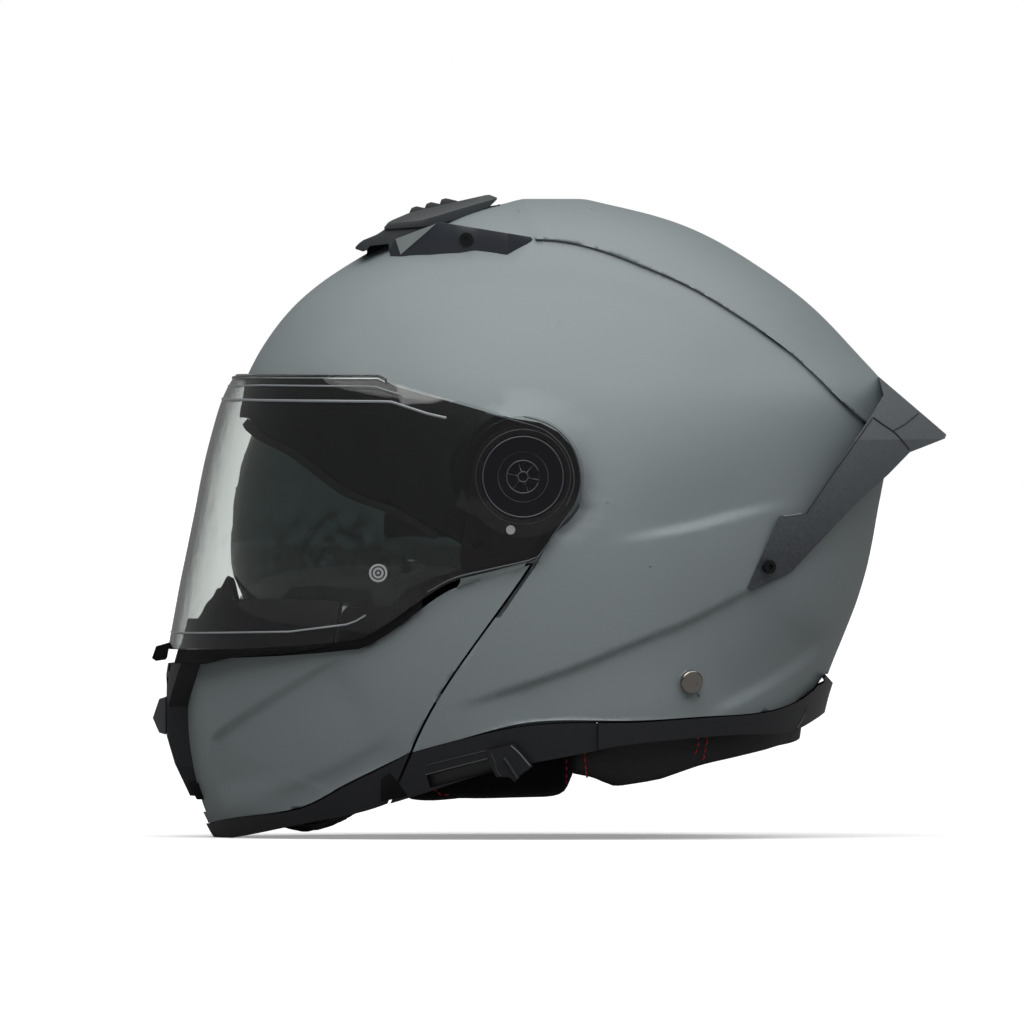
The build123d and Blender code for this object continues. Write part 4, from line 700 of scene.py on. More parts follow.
@dataclass
class PaintedSkin:
    """A painted moulding, refined from its CAD node and pressed with its moulded lines."""

    node: str
    name: str
    body: str
    creases: Sequence[Crease]
    zones: Sequence[Finish] = (SHADE_BLACK, SHADE_BLACK)
    grid: float = 0.0027
    rounds: int = 12
    heal_rounds: int = 40
    scribe_reach: float = 0.006
    centre: tuple[float, float, float] = (-0.01, 0.0, 0.13)
    kept_angle: float = 24.0
    halvings: int = 7
    outer_facing: float = 0.15
    inner_facing: float = 0.1
    pressed_facing: tuple[float, float] = (0.05, 0.45)
    hub_reach: tuple[float, float] = (55.0, 86.0)
    hub_corner: tuple[float, float] = (500.0, 545.0)
    band_end: Points = ((511, 199), (536, 239))
    band_reach: float = 9.0
    band_foot: float = 262.0

    def build(self) -> None:
        """Build the piece, in place of its node."""
        bm = merged(self.node)
        self.refine(bm)
        self.relax(bm)
        self.scribe(bm)
        self.mark_zones(bm)
        piece = add_piece(bm, self.name, self.body, "shell_paint", stands_for=[self.node], sharp=SHARP_PAINT)
        for zone in self.zones:
            piece.data.materials.append(zone.material())
        self.press(piece.data)

    def scribe(self, bm: bmesh.types.BMesh) -> None:
        """Cut the mesh along the face shield's outline, so that the dark zone has a clean edge.

        Args:
            bm: The skin's mesh.
        """
        corners = [Vector((px_x(x), 0.0, px_z(y))) for x, y in VISOR_OUTLINE]
        for a, b in zip(corners, corners[1:]):
            along = (b - a).normalized()
            across = along.cross(Vector((0.0, 1.0, 0.0)))
            end = (b - a).length + self.scribe_reach
            near = []
            for face in bm.faces:
                away = face.calc_center_median() - a
                beside = abs(away.dot(across)) < self.scribe_reach
                if beside and -self.scribe_reach < away.dot(along) < end:
                    near.append(face)
            geom = list({v for f in near for v in f.verts}) + list({e for f in near for e in f.edges}) + near
            bmesh.ops.bisect_plane(bm, geom=geom, dist=WELD / 10, plane_co=a, plane_no=across)
        split_faces(bm)

    def mark_zones(self, bm: bmesh.types.BMesh) -> None:
        """Give the faces under the face shield, and the inside, their own finishes.

        Args:
            bm: The skin's mesh.
        """
        bm.normal_update()
        centre = Vector(self.centre)
        for face in bm.faces:
            middle = face.calc_center_median()
            if inside(middle.x, middle.z, VISOR_OUTLINE):
                face.material_index = 1
            elif max(v.normal.dot((middle - centre).normalized()) for v in face.verts) < self.inner_facing:
                face.material_index = 2

    def outside(self, vert: bmesh.types.BMVert) -> bool:
        """Tell whether a vertex is on the outer skin."""
        return vert.normal.dot((vert.co - Vector(self.centre)).normalized()) > self.outer_facing

    def refine(self, bm: bmesh.types.BMesh) -> None:
        """Halve the outer skin's long edges until they are short enough for the lines.

        Args:
            bm: The skin's mesh.
        """
        for _ in range(self.halvings):
            bm.normal_update()
            long = [e for e in bm.edges if e.calc_length() > self.grid and all(map(self.outside, e.verts))]
            if not long:
                break
            bmesh.ops.subdivide_edges(bm, edges=long, cuts=1)
            split_faces(bm)
        bmesh.ops.dissolve_degenerate(bm, edges=bm.edges, dist=self.grid / 8)
        split_faces(bm)
        bm.normal_update()

    def relax(self, bm: bmesh.types.BMesh) -> None:
        """Even out the skin between the edges that stay sharp.

        Args:
            bm: The skin's mesh.
        """
        limit = math.radians(self.kept_angle)
        kept = {v for e in bm.edges if not e.is_manifold or e.calc_face_angle(0.0) > limit for v in e.verts}
        free = [v for v in bm.verts if v not in kept and self.outside(v)]
        smooth(bm, free, self.rounds)
        skin = [v for v in bm.verts if self.outside(v)]
        healed = [v for v in skin if self.near_hub(v.co) or self.near_band_end(v.co)]
        smooth(bm, healed, self.heal_rounds)

    def near_hub(self, place: Vector) -> bool:
        """Tell whether a place is just outside the face shield's round end.

        Args:
            place: A place on the skin.

        Returns:
            Whether it is there.
        """
        away = math.hypot(place.x - px_x(HUB_PX[0]), place.z - px_z(HUB_PX[1])) / PIXEL
        near, far = self.hub_reach
        behind = place.x > px_x(self.hub_corner[0]) and place.z > px_z(self.hub_corner[1])
        return near < away < far and behind and not inside(place.x, place.z, VISOR_OUTLINE)

    def near_band_end(self, place: Vector) -> bool:
        """Tell whether a place is by the raised band's front end, which runs out smoothly.

        Args:
            place: A place on the skin.

        Returns:
            Whether it is there.
        """
        a, b = (Vector((px_x(x), px_z(y))) for x, y in self.band_end)
        here = Vector((place.x, place.z))
        share = min(1.0, max(0.0, (here - a).dot(b - a) / (b - a).length_squared))
        near = (here - a - (b - a) * share).length < self.band_reach * PIXEL
        return near and place.z > px_z(self.band_foot)

    def press(self, mesh: bpy.types.Mesh) -> None:
        """Press the moulded lines into the outer skin.

        Args:
            mesh: The finished piece's mesh.
        """
        places = np.zeros(len(mesh.vertices) * 3, np.float32)
        normals = np.zeros(len(mesh.vertices) * 3, np.float32)
        mesh.vertices.foreach_get("co", places)
        mesh.vertex_normals.foreach_get("vector", normals)
        places, normals = places.reshape(-1, 3).astype(float), normals.reshape(-1, 3).astype(float)
        away = places - np.array(self.centre)
        facing = (normals * away).sum(1) / np.linalg.norm(away, axis=1)
        depth = np.zeros(len(places))
        for crease in self.creases:
            depth += crease.sink(places[:, 0], places[:, 2])
        least, full = self.pressed_facing
        depth *= Crease.ease((facing - least) / (full - least))
        places -= normals * depth[:, None]
        mesh.vertices.foreach_set("co", places.astype(np.float32).ravel())
        mesh.update()


SHELL_CREASES = (
    Crease(
        (
            (295, 360), (340, 320), (390, 292), (440, 277), (490, 274), (565, 277), (615, 287), (665, 307),
            (715, 330),
        ),
        depth=0.0014, step=0.010, fade=0.035, sunk=Sunk.UNDER, ends=0.04,
    ),
    Crease(
        ((600, 545), (627, 537), (690, 525), (740, 512), (805, 497)),
        depth=0.0022, step=0.005, fade=0.024, sunk=Sunk.OVER, ends=0.04,
    ),
    Crease(
        ((440, 710), (490, 695), (565, 670), (640, 640), (690, 620), (745, 592), (800, 560)),
        depth=0.0024, step=0.0036, fade=0.032, sunk=Sunk.UNDER, ends=0.04,
    ),
    Crease(
        ((700, 716), (765, 685), (810, 655), (835, 625)),
        depth=0.0018, step=0.005, fade=0.018, sunk=Sunk.OVER, ends=0.02,
    ),
)
CHIN_CREASES = (
    Crease(
        ((224, 812), (216, 775), (214, 748), (222, 731), (290, 686), (350, 650)),
        depth=0.0018, step=0.0036, fade=0.032, sunk=Sunk.UNDER, ends=0.015,
    ),
    Crease(
        ((255, 801), (340, 766), (402, 729)),
        depth=0.0010, step=0.007, fade=0.018, sunk=Sunk.UNDER, ends=0.02,
    ),
)


@dataclass
class VisorEdges:
    """The thick moulded edges of the face shield: the top rim in the clear finish, the thinner ribs as opaque
    lines of painted highlight.
    """

    rails: Sequence[tuple[str, Points, float]] = (
        (
            "top_rim",
            ((226, 379), (262, 376.5), (380, 376.5), (395, 385), (450, 400), (500, 414), (532, 419)),
            0.0010,
        ),
        ("upper_rib", ((226, 386), (262, 385), (375, 386), (400, 394), (450, 409), (480, 418)), 0.0004),
        ("inner_rib", ((226, 399), (262, 400), (391, 401), (428, 413), (486, 426)), 0.0006),
        ("low_rib", ((196, 632), (290, 630), (352, 622), (372, 610)), 0.0004),
    )
    steps: int = 46
    proud: float = 0.0001
    reach: float = 0.3
    pole: float = -0.02
    tries: int = 4
    flat: float = 0.5

    def build(self) -> None:
        """Build each rail round the shield."""
        skin = Skin("face_shield")
        for name, points, radius in self.rails:
            path = self.path(skin, points)
            bm = bmesh.new()
            outward = [Vector((p.x, p.y, 0.0)).normalized() for p in path]
            sweep(bm, path, radius, radius * self.flat, outward)
            bmesh.ops.recalc_face_normals(bm, faces=bm.faces)
            # The top rim is clear; the other ribs are painted highlight.
            finish = FINISHES["clear_visor"] if name == "top_rim" else VISOR_RIB_HIGHLIGHT
            add_piece(bm, "visor_" + name, "visor", "clear_visor", finish, sharp=SHARP_RIB)

    def path(self, skin: Skin, points: Points) -> list[Vector]:
        """Find the rail's line on the shield's outer face.

        Args:
            skin: The shield.
            points: The line in the side view, front first.

        Returns:
            The line from the rider's left to the right.
        """
        last = px_x(points[-1][0])
        half: list[Vector] = []
        for i in range(self.steps * 2):
            turn = math.radians(i * QUARTER_TURN / self.steps)
            spot = self.spot(skin, turn, points)
            if spot is None or spot.x > last:
                break
            half.append(spot)
        return [Vector((p.x, -p.y, p.z)) for p in reversed(half[1:])] + half

    def spot(self, skin: Skin, turn: float, points: Points) -> Vector | None:
        """Find one point of a rail.

        Args:
            skin: The shield.
            turn: The point's angle from the front.
            points: The rail's line in the side view.

        Returns:
            The point, just outside the shield, or None past its end.
        """
        heading = Vector((-math.cos(turn), math.sin(turn), 0.0))
        height = px_z(points[0][1])
        found = None
        columns = [px_x(p[0]) for p in points]
        rows = [px_z(p[1]) for p in points]
        for _ in range(self.tries):
            start = Vector((self.pole, 0.0, height)) + heading * self.reach
            found = skin.touch(start, -heading)
            if found is None:
                return None
            height = float(np.interp(found[0].x, columns, rows))
        return found[0] + found[1] * self.proud


@dataclass
class Sill:
    """The rubber sill inside the chin bar's upper edge, below the breath guard."""

    low: Points = ((150, 663), (205, 662), (232, 655), (290, 650), (360, 640), (388, 628))
    high: Points = ((196, 618), (214, 600), (250, 597), (300, 598), (352, 600), (388, 606))
    inset: float = 0.0034
    thickness: float = 0.0016
    steps: int = 40
    turn: float = 1.9
    upright: float = 652.0
    lean: float = 0.28
    sight: float = 640.0
    end: float = 390.0
    pole: float = -0.02
    reach: float = 0.3

    def build(self) -> None:
        """Build the sill from one end to the other."""
        skin = Skin("face_shield")
        bm = bmesh.new()
        low_row, high_row = [], []
        for i in range(-self.steps, self.steps + 1):
            turn = math.radians(i * self.turn)
            heading = Vector((-math.cos(turn), math.sin(turn), 0.0))
            start = Vector((self.pole, 0.0, px_z(self.sight))) + heading * self.reach
            found = skin.touch(start, -heading)
            if found is None or found[0].x > px_x(self.end):
                continue
            foot = found[0] + found[1] * -self.inset
            for row, line in ((low_row, self.low), (high_row, self.high)):
                z = px_z(level(line, column(foot.x)))
                lean = -heading * (z - px_z(self.upright)) * self.lean
                row.append(bm.verts.new((foot.x + lean.x, foot.y + lean.y, z)))
        edges = [bm.edges.new(pair) for row in (low_row, high_row) for pair in zip(row, row[1:])]
        bmesh.ops.bridge_loops(bm, edges=edges)
        bmesh.ops.subdivide_edges(bm, edges=bm.edges, cuts=1, use_grid_fill=True)
        bmesh.ops.recalc_face_normals(bm, faces=bm.faces)
        bmesh.ops.solidify(bm, geom=bm.faces, thickness=self.thickness)
        bmesh.ops.recalc_face_normals(bm, faces=bm.faces)
        add_piece(bm, "visor_sill", "chin_bar", "rubber")


@dataclass(frozen=True)
class SideRail:
    """A fine raised line on one side of a node."""

    name: str
    node: str
    body: str
    slot: str
    finish: Finish
    line: Points
    radius: float = 0.00025
    rise: float = 0.8
    sides: tuple[int, ...] = (LEFT, RIGHT)
    runs: int = 4

    def build(self, side: int) -> None:
        """Lay the line on one side.

        Args:
            side: LEFT or RIGHT.
        """
        skin = Skin(self.node)
        path, ups = [], []
        for point in smooth_line(self.line, self.runs):
            found = skin.side(px_x(point.x), px_z(point.y), side)
            if found:
                path.append(found[0])
                ups.append(found[1])
        if len(path) < 3:
            return
        bm = bmesh.new()
        sweep(bm, path, self.radius, self.radius * self.rise, ups, 6)
        bmesh.ops.recalc_face_normals(bm, faces=bm.faces)
        add_piece(bm, f"{self.name}_{tag_of(side)}", self.body, self.slot, self.finish, sharp=SHARP_THREAD)


def ring(centre: tuple[float, float], radius: float, count: int = 40) -> Points:
    """Return the places of a circle in the photograph, its first place again at the end."""
    turns = [2.0 * math.pi * i / count for i in range(count + 1)]
    return tuple((centre[0] + radius * math.cos(t), centre[1] + radius * math.sin(t)) for t in turns)


def hub_line(name: str, line: Points, node: str = "hub_cover_left", radius: float = 0.0003) -> SideRail:
    """Return a thin line of painted highlight on the round cover of the pivot."""
    return SideRail(name, node, "chin_bar", "hub_black", RING_HIGHLIGHT, line, radius, sides=(LEFT,))


def hub_spoke(turn: float, ends: Sequence[float] = (6, 11, 15.5)) -> Points:
    """Return the places of a spoke of the cover at an angle, from its inner end to its outer one."""
    return tuple((HUB_PX[0] + r * math.cos(turn), HUB_PX[1] + r * math.sin(turn)) for r in ends)


SPOKES = 6
SPOKE_TURN = 0.2
SIDE_RAILS = (
    SideRail(
        "shield_rear_rim", "face_shield", "visor", "clear_visor", RING_HIGHLIGHT,
        (
            (500, 411), (530, 417), (548, 423), (562, 433), (573, 448), (579, 466), (580, 484), (575, 502),
            (566, 516), (551, 536), (538, 555), (492, 567), (455, 576), (428, 590),
        ),
        0.00035,
    ),
    hub_line("hub_ring_outer", ring(HUB_PX, 47.0), node="visor_base_plate_left"),
    hub_line("hub_ring_rim", ring(HUB_PX, 40.0)),
    hub_line("hub_ring_groove", ring(HUB_PX, 25.0), radius=0.0004),
    hub_line("hub_ring_core", ring(HUB_PX, 16.2)),
    hub_line("hub_ring_bore", ring(HUB_PX, 5.0, 16)),
    *(hub_line(f"hub_spoke_{i}", hub_spoke(math.tau * i / SPOKES + SPOKE_TURN)) for i in range(SPOKES)),
    SideRail(
        "insert_pin_rim", "pinlock_pins", "visor", "pin_silver", FOLD_DARK, ring(PIN_PX, 6.2, 24), 0.00035,
    ),
    SideRail(
        "insert_pin_core", "pinlock_pins", "visor", "pin_silver", FOLD_DARK, ring(PIN_PX, 2.4, 12), 0.0004,
    ),
    SideRail(
        "spoiler_fold", "spoiler", "helmet", "dark_paint", FOLD_DARK,
        ((872, 417), (880, 423), (892, 431), (900, 439), (908, 449)), 0.0004,
    ),
    SideRail(
        "spoiler_tip_fold", "spoiler", "helmet", "dark_paint", FOLD_DARK,
        ((892, 430), (903, 424), (917, 413)), 0.00035,
    ),
    SideRail(
        "spoiler_edge", "spoiler", "helmet", "dark_paint", FOLD_DARK,
        ((805, 512), (830, 475), (850, 447), (871, 417)), 0.0004,
    ),
    SideRail(
        "spoiler_notch", "spoiler", "helmet", "dark_paint", FOLD_HIGHLIGHT,
        ((782, 515), (792, 514), (803, 512)), 0.00035,
    ),
    SideRail(
        "lever_blade", "sun_visor_lever", "sun_visor_lever", "trim_black", TRACK_GREY_AND_HIGHLIGHT,
        ((504, 754), (509, 761), (514, 769), (519, 777)), 0.0008, 3.0, (LEFT,),
    ),
    SideRail(
        "lever_rim", "sun_visor_lever", "sun_visor_lever", "trim_black", FOLD_HIGHLIGHT,
        ((511, 743), (518, 749), (525, 757), (530, 763)), 0.0003, sides=(LEFT,),
    ),
    SideRail(
        "lever_fold", "sun_visor_lever", "sun_visor_lever", "trim_black", TRACK_GREY_AND_HIGHLIGHT,
        ((491, 751), (495, 759), (497, 768), (501, 773)), 0.0004, sides=(LEFT,),
    ),
    SideRail(
        "slot_edge_top", "base_trim_left", "helmet", "trim_black", TRACK_GREY_AND_HIGHLIGHT,
        ((426, 772.2), (440, 768.5), (460, 763.2), (488, 756)), 0.0004, sides=(LEFT,),
    ),
    SideRail(
        "trim_seam", "base_trim_left", "helmet", "trim_black", FOLD_DARK,
        ((426, 763), (450, 757), (486, 748)), 0.0003, sides=(LEFT,),
    ),
    SideRail(
        "rear_trim_rib", "rear_trim", "helmet", "trim_black", TRACK_GREY_AND_HIGHLIGHT,
        ((796, 727), (803, 716), (806, 706)), 0.0006,
    ),
    SideRail(
        "shield_inner_rim", "face_shield", "visor", "clear_visor", RING_HIGHLIGHT,
        ((486, 412), (520, 421), (542, 428), (556, 438), (567, 452), (573, 470), (573, 486), (566, 504)),
    ),
)


def loft(bm: bmesh.types.BMesh, rings: Sequence[Sequence[Vector]]) -> None:
    """Join closed rings of points, and cap both ends.

    Args:
        bm: Where the faces are added.
        rings: The rings, each of the same count of points.
    """
    rows = [[bm.verts.new(point) for point in points] for points in rings]
    for a, b in zip(rows, rows[1:]):
        for i in range(len(a)):
            bm.faces.new((a[i - 1], a[i], b[i], b[i - 1]))
    bm.faces.new(rows[0])
    bm.faces.new(rows[-1])
    bmesh.ops.recalc_face_normals(bm, faces=bm.faces)


def soften(bm: bmesh.types.BMesh, offset: float, turn: float = 28.0) -> None:
    """Round the sharp edges.

    Args:
        bm: The mesh.
        offset: How wide the rounding is, in metres.
        turn: Edges that turn by more degrees are rounded.
    """
    sharp = [e for e in bm.edges if e.is_manifold and e.calc_face_angle() > math.radians(turn)]
    bmesh.ops.bevel(
        bm, geom=sharp, offset=offset, segments=2, affect="EDGES", profile=0.6, clamp_overlap=True,
    )


@dataclass
class TopIntake:
    """The top intake: its plate with the mouth, its slider with three teeth, and a fin on each side."""

    plan: Points = ((355, 27.0), (362, 31.0), (376, 34.0), (425, 34.0), (478, 19.0), (501, 10.0))
    slider_top: Points = (
        (384.1, 227.5), (389, 221.5), (410, 212.5), (448, 203.5), (488.4, 194.4), (497.2, 197.6),
    )
    slider_fold: Points = (
        (384.6, 228.2), (387.5, 223.5), (421.6, 220.3), (455, 210.5), (476, 204.2), (497.2, 198.4),
    )
    slider_low: Points = (
        (384.1, 229.1), (388, 229.1), (422.4, 226.9), (454.6, 220.3), (489.1, 207.1), (497.2, 199.2),
    )
    teeth: Sequence[Points] = (
        ((409, 213.5), (411.5, 208), (416.5, 206.2), (425, 208), (430, 211)),
        ((424, 209.5), (426.5, 203.8), (431, 202), (440, 203.9), (446, 207)),
        ((439, 206), (441.5, 199.3), (446, 198.2), (456, 200.5), (463, 203)),
    )
    plate_top: Points = (
        (355.5, 247), (361.5, 240.9), (376.9, 234.6), (386, 228.6), (412, 227.4), (424, 226.4), (455, 220.4),
        (489, 207.6), (501, 203.6),
    )
    lip_low: Points = ((355.5, 249), (365, 252.2), (370, 246), (389, 244))
    fin_top: Points = ((390, 252), (396, 238.5), (440, 222), (488, 230), (531, 237), (533, 240.2))
    fin_low: Points = ((390, 256), (401, 256.5), (459, 253.6), (507, 255), (533, 241))
    fin_out: Points = (
        (390, 36.9), (401, 42.2), (430, 50.5), (459, 55.4), (474, 56.1), (507, 62.1), (533, 54.8),
    )
    foil: Points = ((395.6, 239.0), (436.3, 223.8), (400.8, 254.6))
    shoulder: float = 0.66
    tooth: float = 0.5
    plate: float = 0.96
    mouth: float = 0.55
    mouth_rise: float = 0.0004
    sunk: float = 0.0012
    fin_lean: float = 0.0008
    fin_top_depth: float = 0.0050
    fin_top_drop: float = 0.5
    fin_foot_depth: float = 0.0095
    fin_foot_drop: float = 3.0
    foil_rise: float = 0.0004
    foil_thickness: float = 0.0003
    edge: float = 0.0005
    fin_edge: float = 0.0004
    slider_stations: tuple[float, float, int] = (384.3, 497.0, 30)
    lip_stations: tuple[float, float, int] = (355.6, 388.9, 10)
    plate_stations: tuple[float, float, int] = (389.4, 500.0, 30)
    mouth_stations: tuple[float, float, int] = (367.0, 390.0, 6)
    fin_nose: tuple[float, ...] = (390.2, 393.0, 396.0)
    fin_stations: tuple[float, float, int] = (400.0, 531.0, 34)
    fin_tail: float = 532.8

    def __post_init__(self) -> None:
        """Find the shell that the intake stands on."""
        self.shell = Skin("outer_shell")

    def build(self) -> None:
        """Build the plate, the slider and both fins."""
        self.build_slider()
        self.build_plate()
        for side in SIDES.values():
            self.build_fin(side)
            self.build_foil(side)

    def half(self, px: float) -> float:
        """Return half the intake's width at a column, in metres."""
        return level(self.plan, px) / 1000.0

    def build_slider(self) -> None:
        """Build the slider with its sloped shoulders and teeth."""
        bm = bmesh.new()
        rings = []
        for px in np.linspace(*self.slider_stations):
            x, wide = px_x(px), self.half(px)
            lines = (self.slider_low, self.slider_fold, self.slider_top)
            low, fold, top = (px_z(level(line, px)) for line in lines)
            narrow = wide * self.shoulder
            half = [(x, -wide, low), (x, -wide, fold), (x, -narrow, top)]
            rings.append([Vector(p) for p in (*half, *((x, -y, z) for x, y, z in reversed(half)))])
        loft(bm, rings)
        for tooth in self.teeth:
            reach = self.half(tooth[2][0]) * self.tooth
            loft(bm, [[Vector((px_x(x), y, px_z(z))) for x, z in tooth] for y in (-reach, reach)])
        soften(bm, self.edge)
        add_piece(bm, "vent_slider", "top_vent_slider", "vent_grey", stands_for=["top_vent_slider"])

    def build_plate(self) -> None:
        """Build the plate that the slider runs on, its front lip over a dark block of painted shade in the
        mouth.
        """
        bm = bmesh.new()
        rings = []
        lip_end = self.lip_low[-1][0]
        for px in [*np.linspace(*self.lip_stations), *np.linspace(*self.plate_stations)]:
            x, wide = px_x(px), self.half(px) * self.plate
            top = px_z(level(self.plate_top, px))
            foot = self.foot(x, wide, top)
            if px < lip_end:
                foot = max(foot, px_z(level(self.lip_low, px)))
            rings.append(self.section(x, wide, foot, top))
        loft(bm, rings)
        soften(bm, self.edge)
        add_piece(bm, "vent_plate", "helmet", "vent_grey", stands_for=["top_vent_base"])
        # The mouth is filled with a block in painted shade.
        mouth = bmesh.new()
        rings = []
        for px in np.linspace(*self.mouth_stations):
            x, wide = px_x(px), self.half(px) * self.mouth
            top = px_z(level(self.lip_low, px)) + self.mouth_rise
            rings.append(self.section(x, wide, self.foot(x, wide, top), top))
        loft(mouth, rings)
        add_piece(mouth, "vent_mouth_shade", "helmet", "vent_grey", MOUTH_SHADE)

    def section(self, x: float, wide: float, foot: float, top: float) -> list[Vector]:
        """Return the four corners of the plate's or the mouth's section at one place."""
        return [Vector(p) for p in ((x, -wide, foot), (x, -wide, top), (x, wide, top), (x, wide, foot))]

    def foot(self, x: float, wide: float, top: float) -> float:
        """Return a height just inside the shell, under one place of the intake."""
        found = self.shell.touch(Vector((x, -wide, SIGHT)), Vector((0.0, 0.0, -1.0)))
        return min(found[0].z if found else top, top) - self.sunk

    def fin_place(self, px: float, py: float, inward: float, side: int) -> Vector:
        """Return a place on a fin's outer face, or some metres in from it."""
        return Vector((px_x(px), side * (level(self.fin_out, px) / 1000.0 - inward), px_z(py)))

    def build_fin(self, side: int) -> None:
        """Build one fin, which stands on the shell.

        Args:
            side: LEFT or RIGHT.
        """
        bm = bmesh.new()
        rings = []
        for px in [*self.fin_nose, *np.linspace(*self.fin_stations), self.fin_tail]:
            top, low = level(self.fin_top, px), level(self.fin_low, px)
            rings.append([
                self.fin_place(px, low, 0.0, side),
                self.fin_place(px, top, self.fin_lean, side),
                self.fin_place(px, top + self.fin_top_drop, self.fin_top_depth, side),
                self.fin_place(px, low + self.fin_foot_drop, self.fin_foot_depth, side),
            ])
        loft(bm, rings)
        soften(bm, self.fin_edge)
        tag = tag_of(side)
        add_piece(bm, "vent_fin_" + tag, "helmet", "dark_paint", stands_for=["top_vent_fin_" + tag])

    def build_foil(self, side: int) -> None:
        """Lay the bright triangle on a fin.

        Args:
            side: LEFT or RIGHT.
        """
        bm = bmesh.new()
        bm.faces.new([bm.verts.new((x, 0.0, y)) for x, y in self.foil])
        bmesh.ops.subdivide_edges(bm, edges=bm.edges, cuts=6, use_grid_fill=True)
        for vert in bm.verts:
            px, py = vert.co.x, vert.co.z
            top, low = level(self.fin_top, px), level(self.fin_low, px)
            inward = self.fin_lean * (low - py) / (low - top) - self.foil_rise
            vert.co = self.fin_place(px, py, inward, side)
        face_side(bm, side)
        bmesh.ops.solidify(bm, geom=bm.faces, thickness=self.foil_thickness)
        add_piece(bm, "vent_foil_" + tag_of(side), "helmet", "dark_paint", SILVER)


@dataclass
class Badge:
    """A thin flat plate laid on a node, over an outline of the side view."""

    node: str
    name: str
    body: str
    slot: str
    finish: Finish
    outline: Points
    lift: float = 0.00015
    thickness: float = 0.0003

    def build(self, side: int) -> None:
        """Lay the plate on one side.

        Args:
            side: LEFT or RIGHT.
        """
        skin = Skin(self.node)
        bm = bmesh.new()
        bm.faces.new([bm.verts.new((px_x(x), 0.0, px_z(y))) for x, y in self.outline])
        bmesh.ops.subdivide_edges(bm, edges=bm.edges, cuts=5, use_grid_fill=True)
        bmesh.ops.triangulate(bm, faces=bm.faces)
        for vert in bm.verts:
            found = skin.side(vert.co.x, vert.co.z, side)
            if found:
                vert.co = found[0] + found[1] * self.lift
        bmesh.ops.remove_doubles(bm, verts=bm.verts, dist=WELD)
        lost = [v for v in bm.verts if abs(v.co.y) < WELD]
        bmesh.ops.delete(bm, geom=lost, context="VERTS")
        if not bm.faces:
            LOG.info("%s misses its node", self.name)
            bm.free()
            return
        face_side(bm, side)
        bmesh.ops.solidify(bm, geom=bm.faces, thickness=self.thickness)
        add_piece(bm, f"{self.name}_{tag_of(side)}", self.body, self.slot, self.finish)


@dataclass
class StitchRow:
    """A row of thread stitches that lies on a soft piece."""

    name: str
    body: str
    slot: str
    finish: Finish
    line: Points
    stitch: float = 0.0021
    gap: float = 0.0012
    radius: float = 0.00036
    runs: int = 12

    def build(self, piece: str, side: int) -> None:
        """Sew the row on a piece.

        Args:
            piece: The piece's name.
            side: LEFT or RIGHT.
        """
        bm = bmesh.new()
        bm.from_mesh(bpy.data.objects[piece].data)
        tree = BVHTree.FromBMesh(bm)
        bm.free()
        places = []
        for spot in smooth_line(self.line, self.runs):
            start = Vector((px_x(spot.x), side * SIGHT, px_z(spot.y)))
            point, normal, _, _ = tree.ray_cast(start, Vector((0.0, -side, 0.0)))
            if point is not None:
                places.append((point, normal))
        bm = bmesh.new()
        walked, target = 0.0, 0.0
        for (a, normal), (b, _) in zip(places, places[1:]):
            length = (b - a).length
            while length > 0 and walked + length > target:
                start = a + (b - a) * max(0.0, (target - walked) / length)
                end = start + (b - a).normalized() * self.stitch
                lift = normal * self.radius
                middle = (start + end) / 2 + lift
                sweep(bm, [start - lift, middle, end - lift], self.radius, self.radius, [normal] * 3, 6)
                target += self.stitch + self.gap
            walked += length
        if bm.faces:
            bmesh.ops.recalc_face_normals(bm, faces=bm.faces)
            name = f"{self.name}_{tag_of(side)}"
            add_piece(bm, name, self.body, self.slot, self.finish, sharp=SHARP_THREAD)
        else:
            bm.free()


@dataclass
class LinerWedge:
    """The front end of a cheek pad, that fills the corner of the eye opening."""

    side: int
    voxel: float = 0.0035
    inner: float = 0.0625
    outer: float = 0.0790
    rounds: int = 9
    fill: float = 0.8
    outline: Points = (
        (336, 668), (334, 640), (342, 604), (372, 600), (390, 588), (404, 577), (440, 566), (466, 566),
        (470, 700), (400, 742),
    )

    def build(self) -> None:
        """Build the wedge, softened all round."""
        bm = bmesh.new()
        near = [bm.verts.new((px_x(x), self.side * self.inner, px_z(y))) for x, y in self.outline]
        face = bm.faces.new(near)
        grown = bmesh.ops.extrude_face_region(bm, geom=[face])["geom"]
        moved = [g for g in grown if isinstance(g, bmesh.types.BMVert)]
        bmesh.ops.translate(bm, verts=moved, vec=(0.0, self.side * (self.outer - self.inner), 0.0))
        bmesh.ops.recalc_face_normals(bm, faces=bm.faces)
        soft = even_mesh(bm, self.voxel)
        smooth(soft, soft.verts, self.rounds)
        piece = add_piece(soft, "cheek_front_" + tag_of(self.side), "helmet", "lining", sharp=SHARP_CLOTH)


def voxel_copy(node: str, voxel: float) -> bmesh.types.BMesh:
    """Copy a CAD node as an even, closed mesh.

    Args:
        node: The node's name.
        voxel: The size of the mesh's grid, in metres.

    Returns:
        The new bmesh.
    """
    return even_mesh(merged(node), voxel)


def even_mesh(bm: bmesh.types.BMesh, voxel: float) -> bmesh.types.BMesh:
    """Turn a closed bmesh into one of even small faces.

    Args:
        bm: The closed bmesh, which is freed.
        voxel: The size of the new mesh's grid, in metres.

    Returns:
        The new bmesh.
    """
    mesh = bpy.data.meshes.new("voxel")
    bm.to_mesh(mesh)
    bm.free()
    source = bpy.data.objects.new("voxel", mesh)
    bpy.context.scene.collection.objects.link(source)
    remesh = source.modifiers.new("Even", "REMESH")
    remesh.mode = "VOXEL"
    remesh.voxel_size = voxel
    even = bpy.data.meshes.new_from_object(source.evaluated_get(bpy.context.evaluated_depsgraph_get()))
    bpy.data.objects.remove(source)
    bm = bmesh.new()
    bm.from_mesh(even)
    bpy.data.meshes.remove(even)
    bpy.data.meshes.remove(mesh)
    return bm


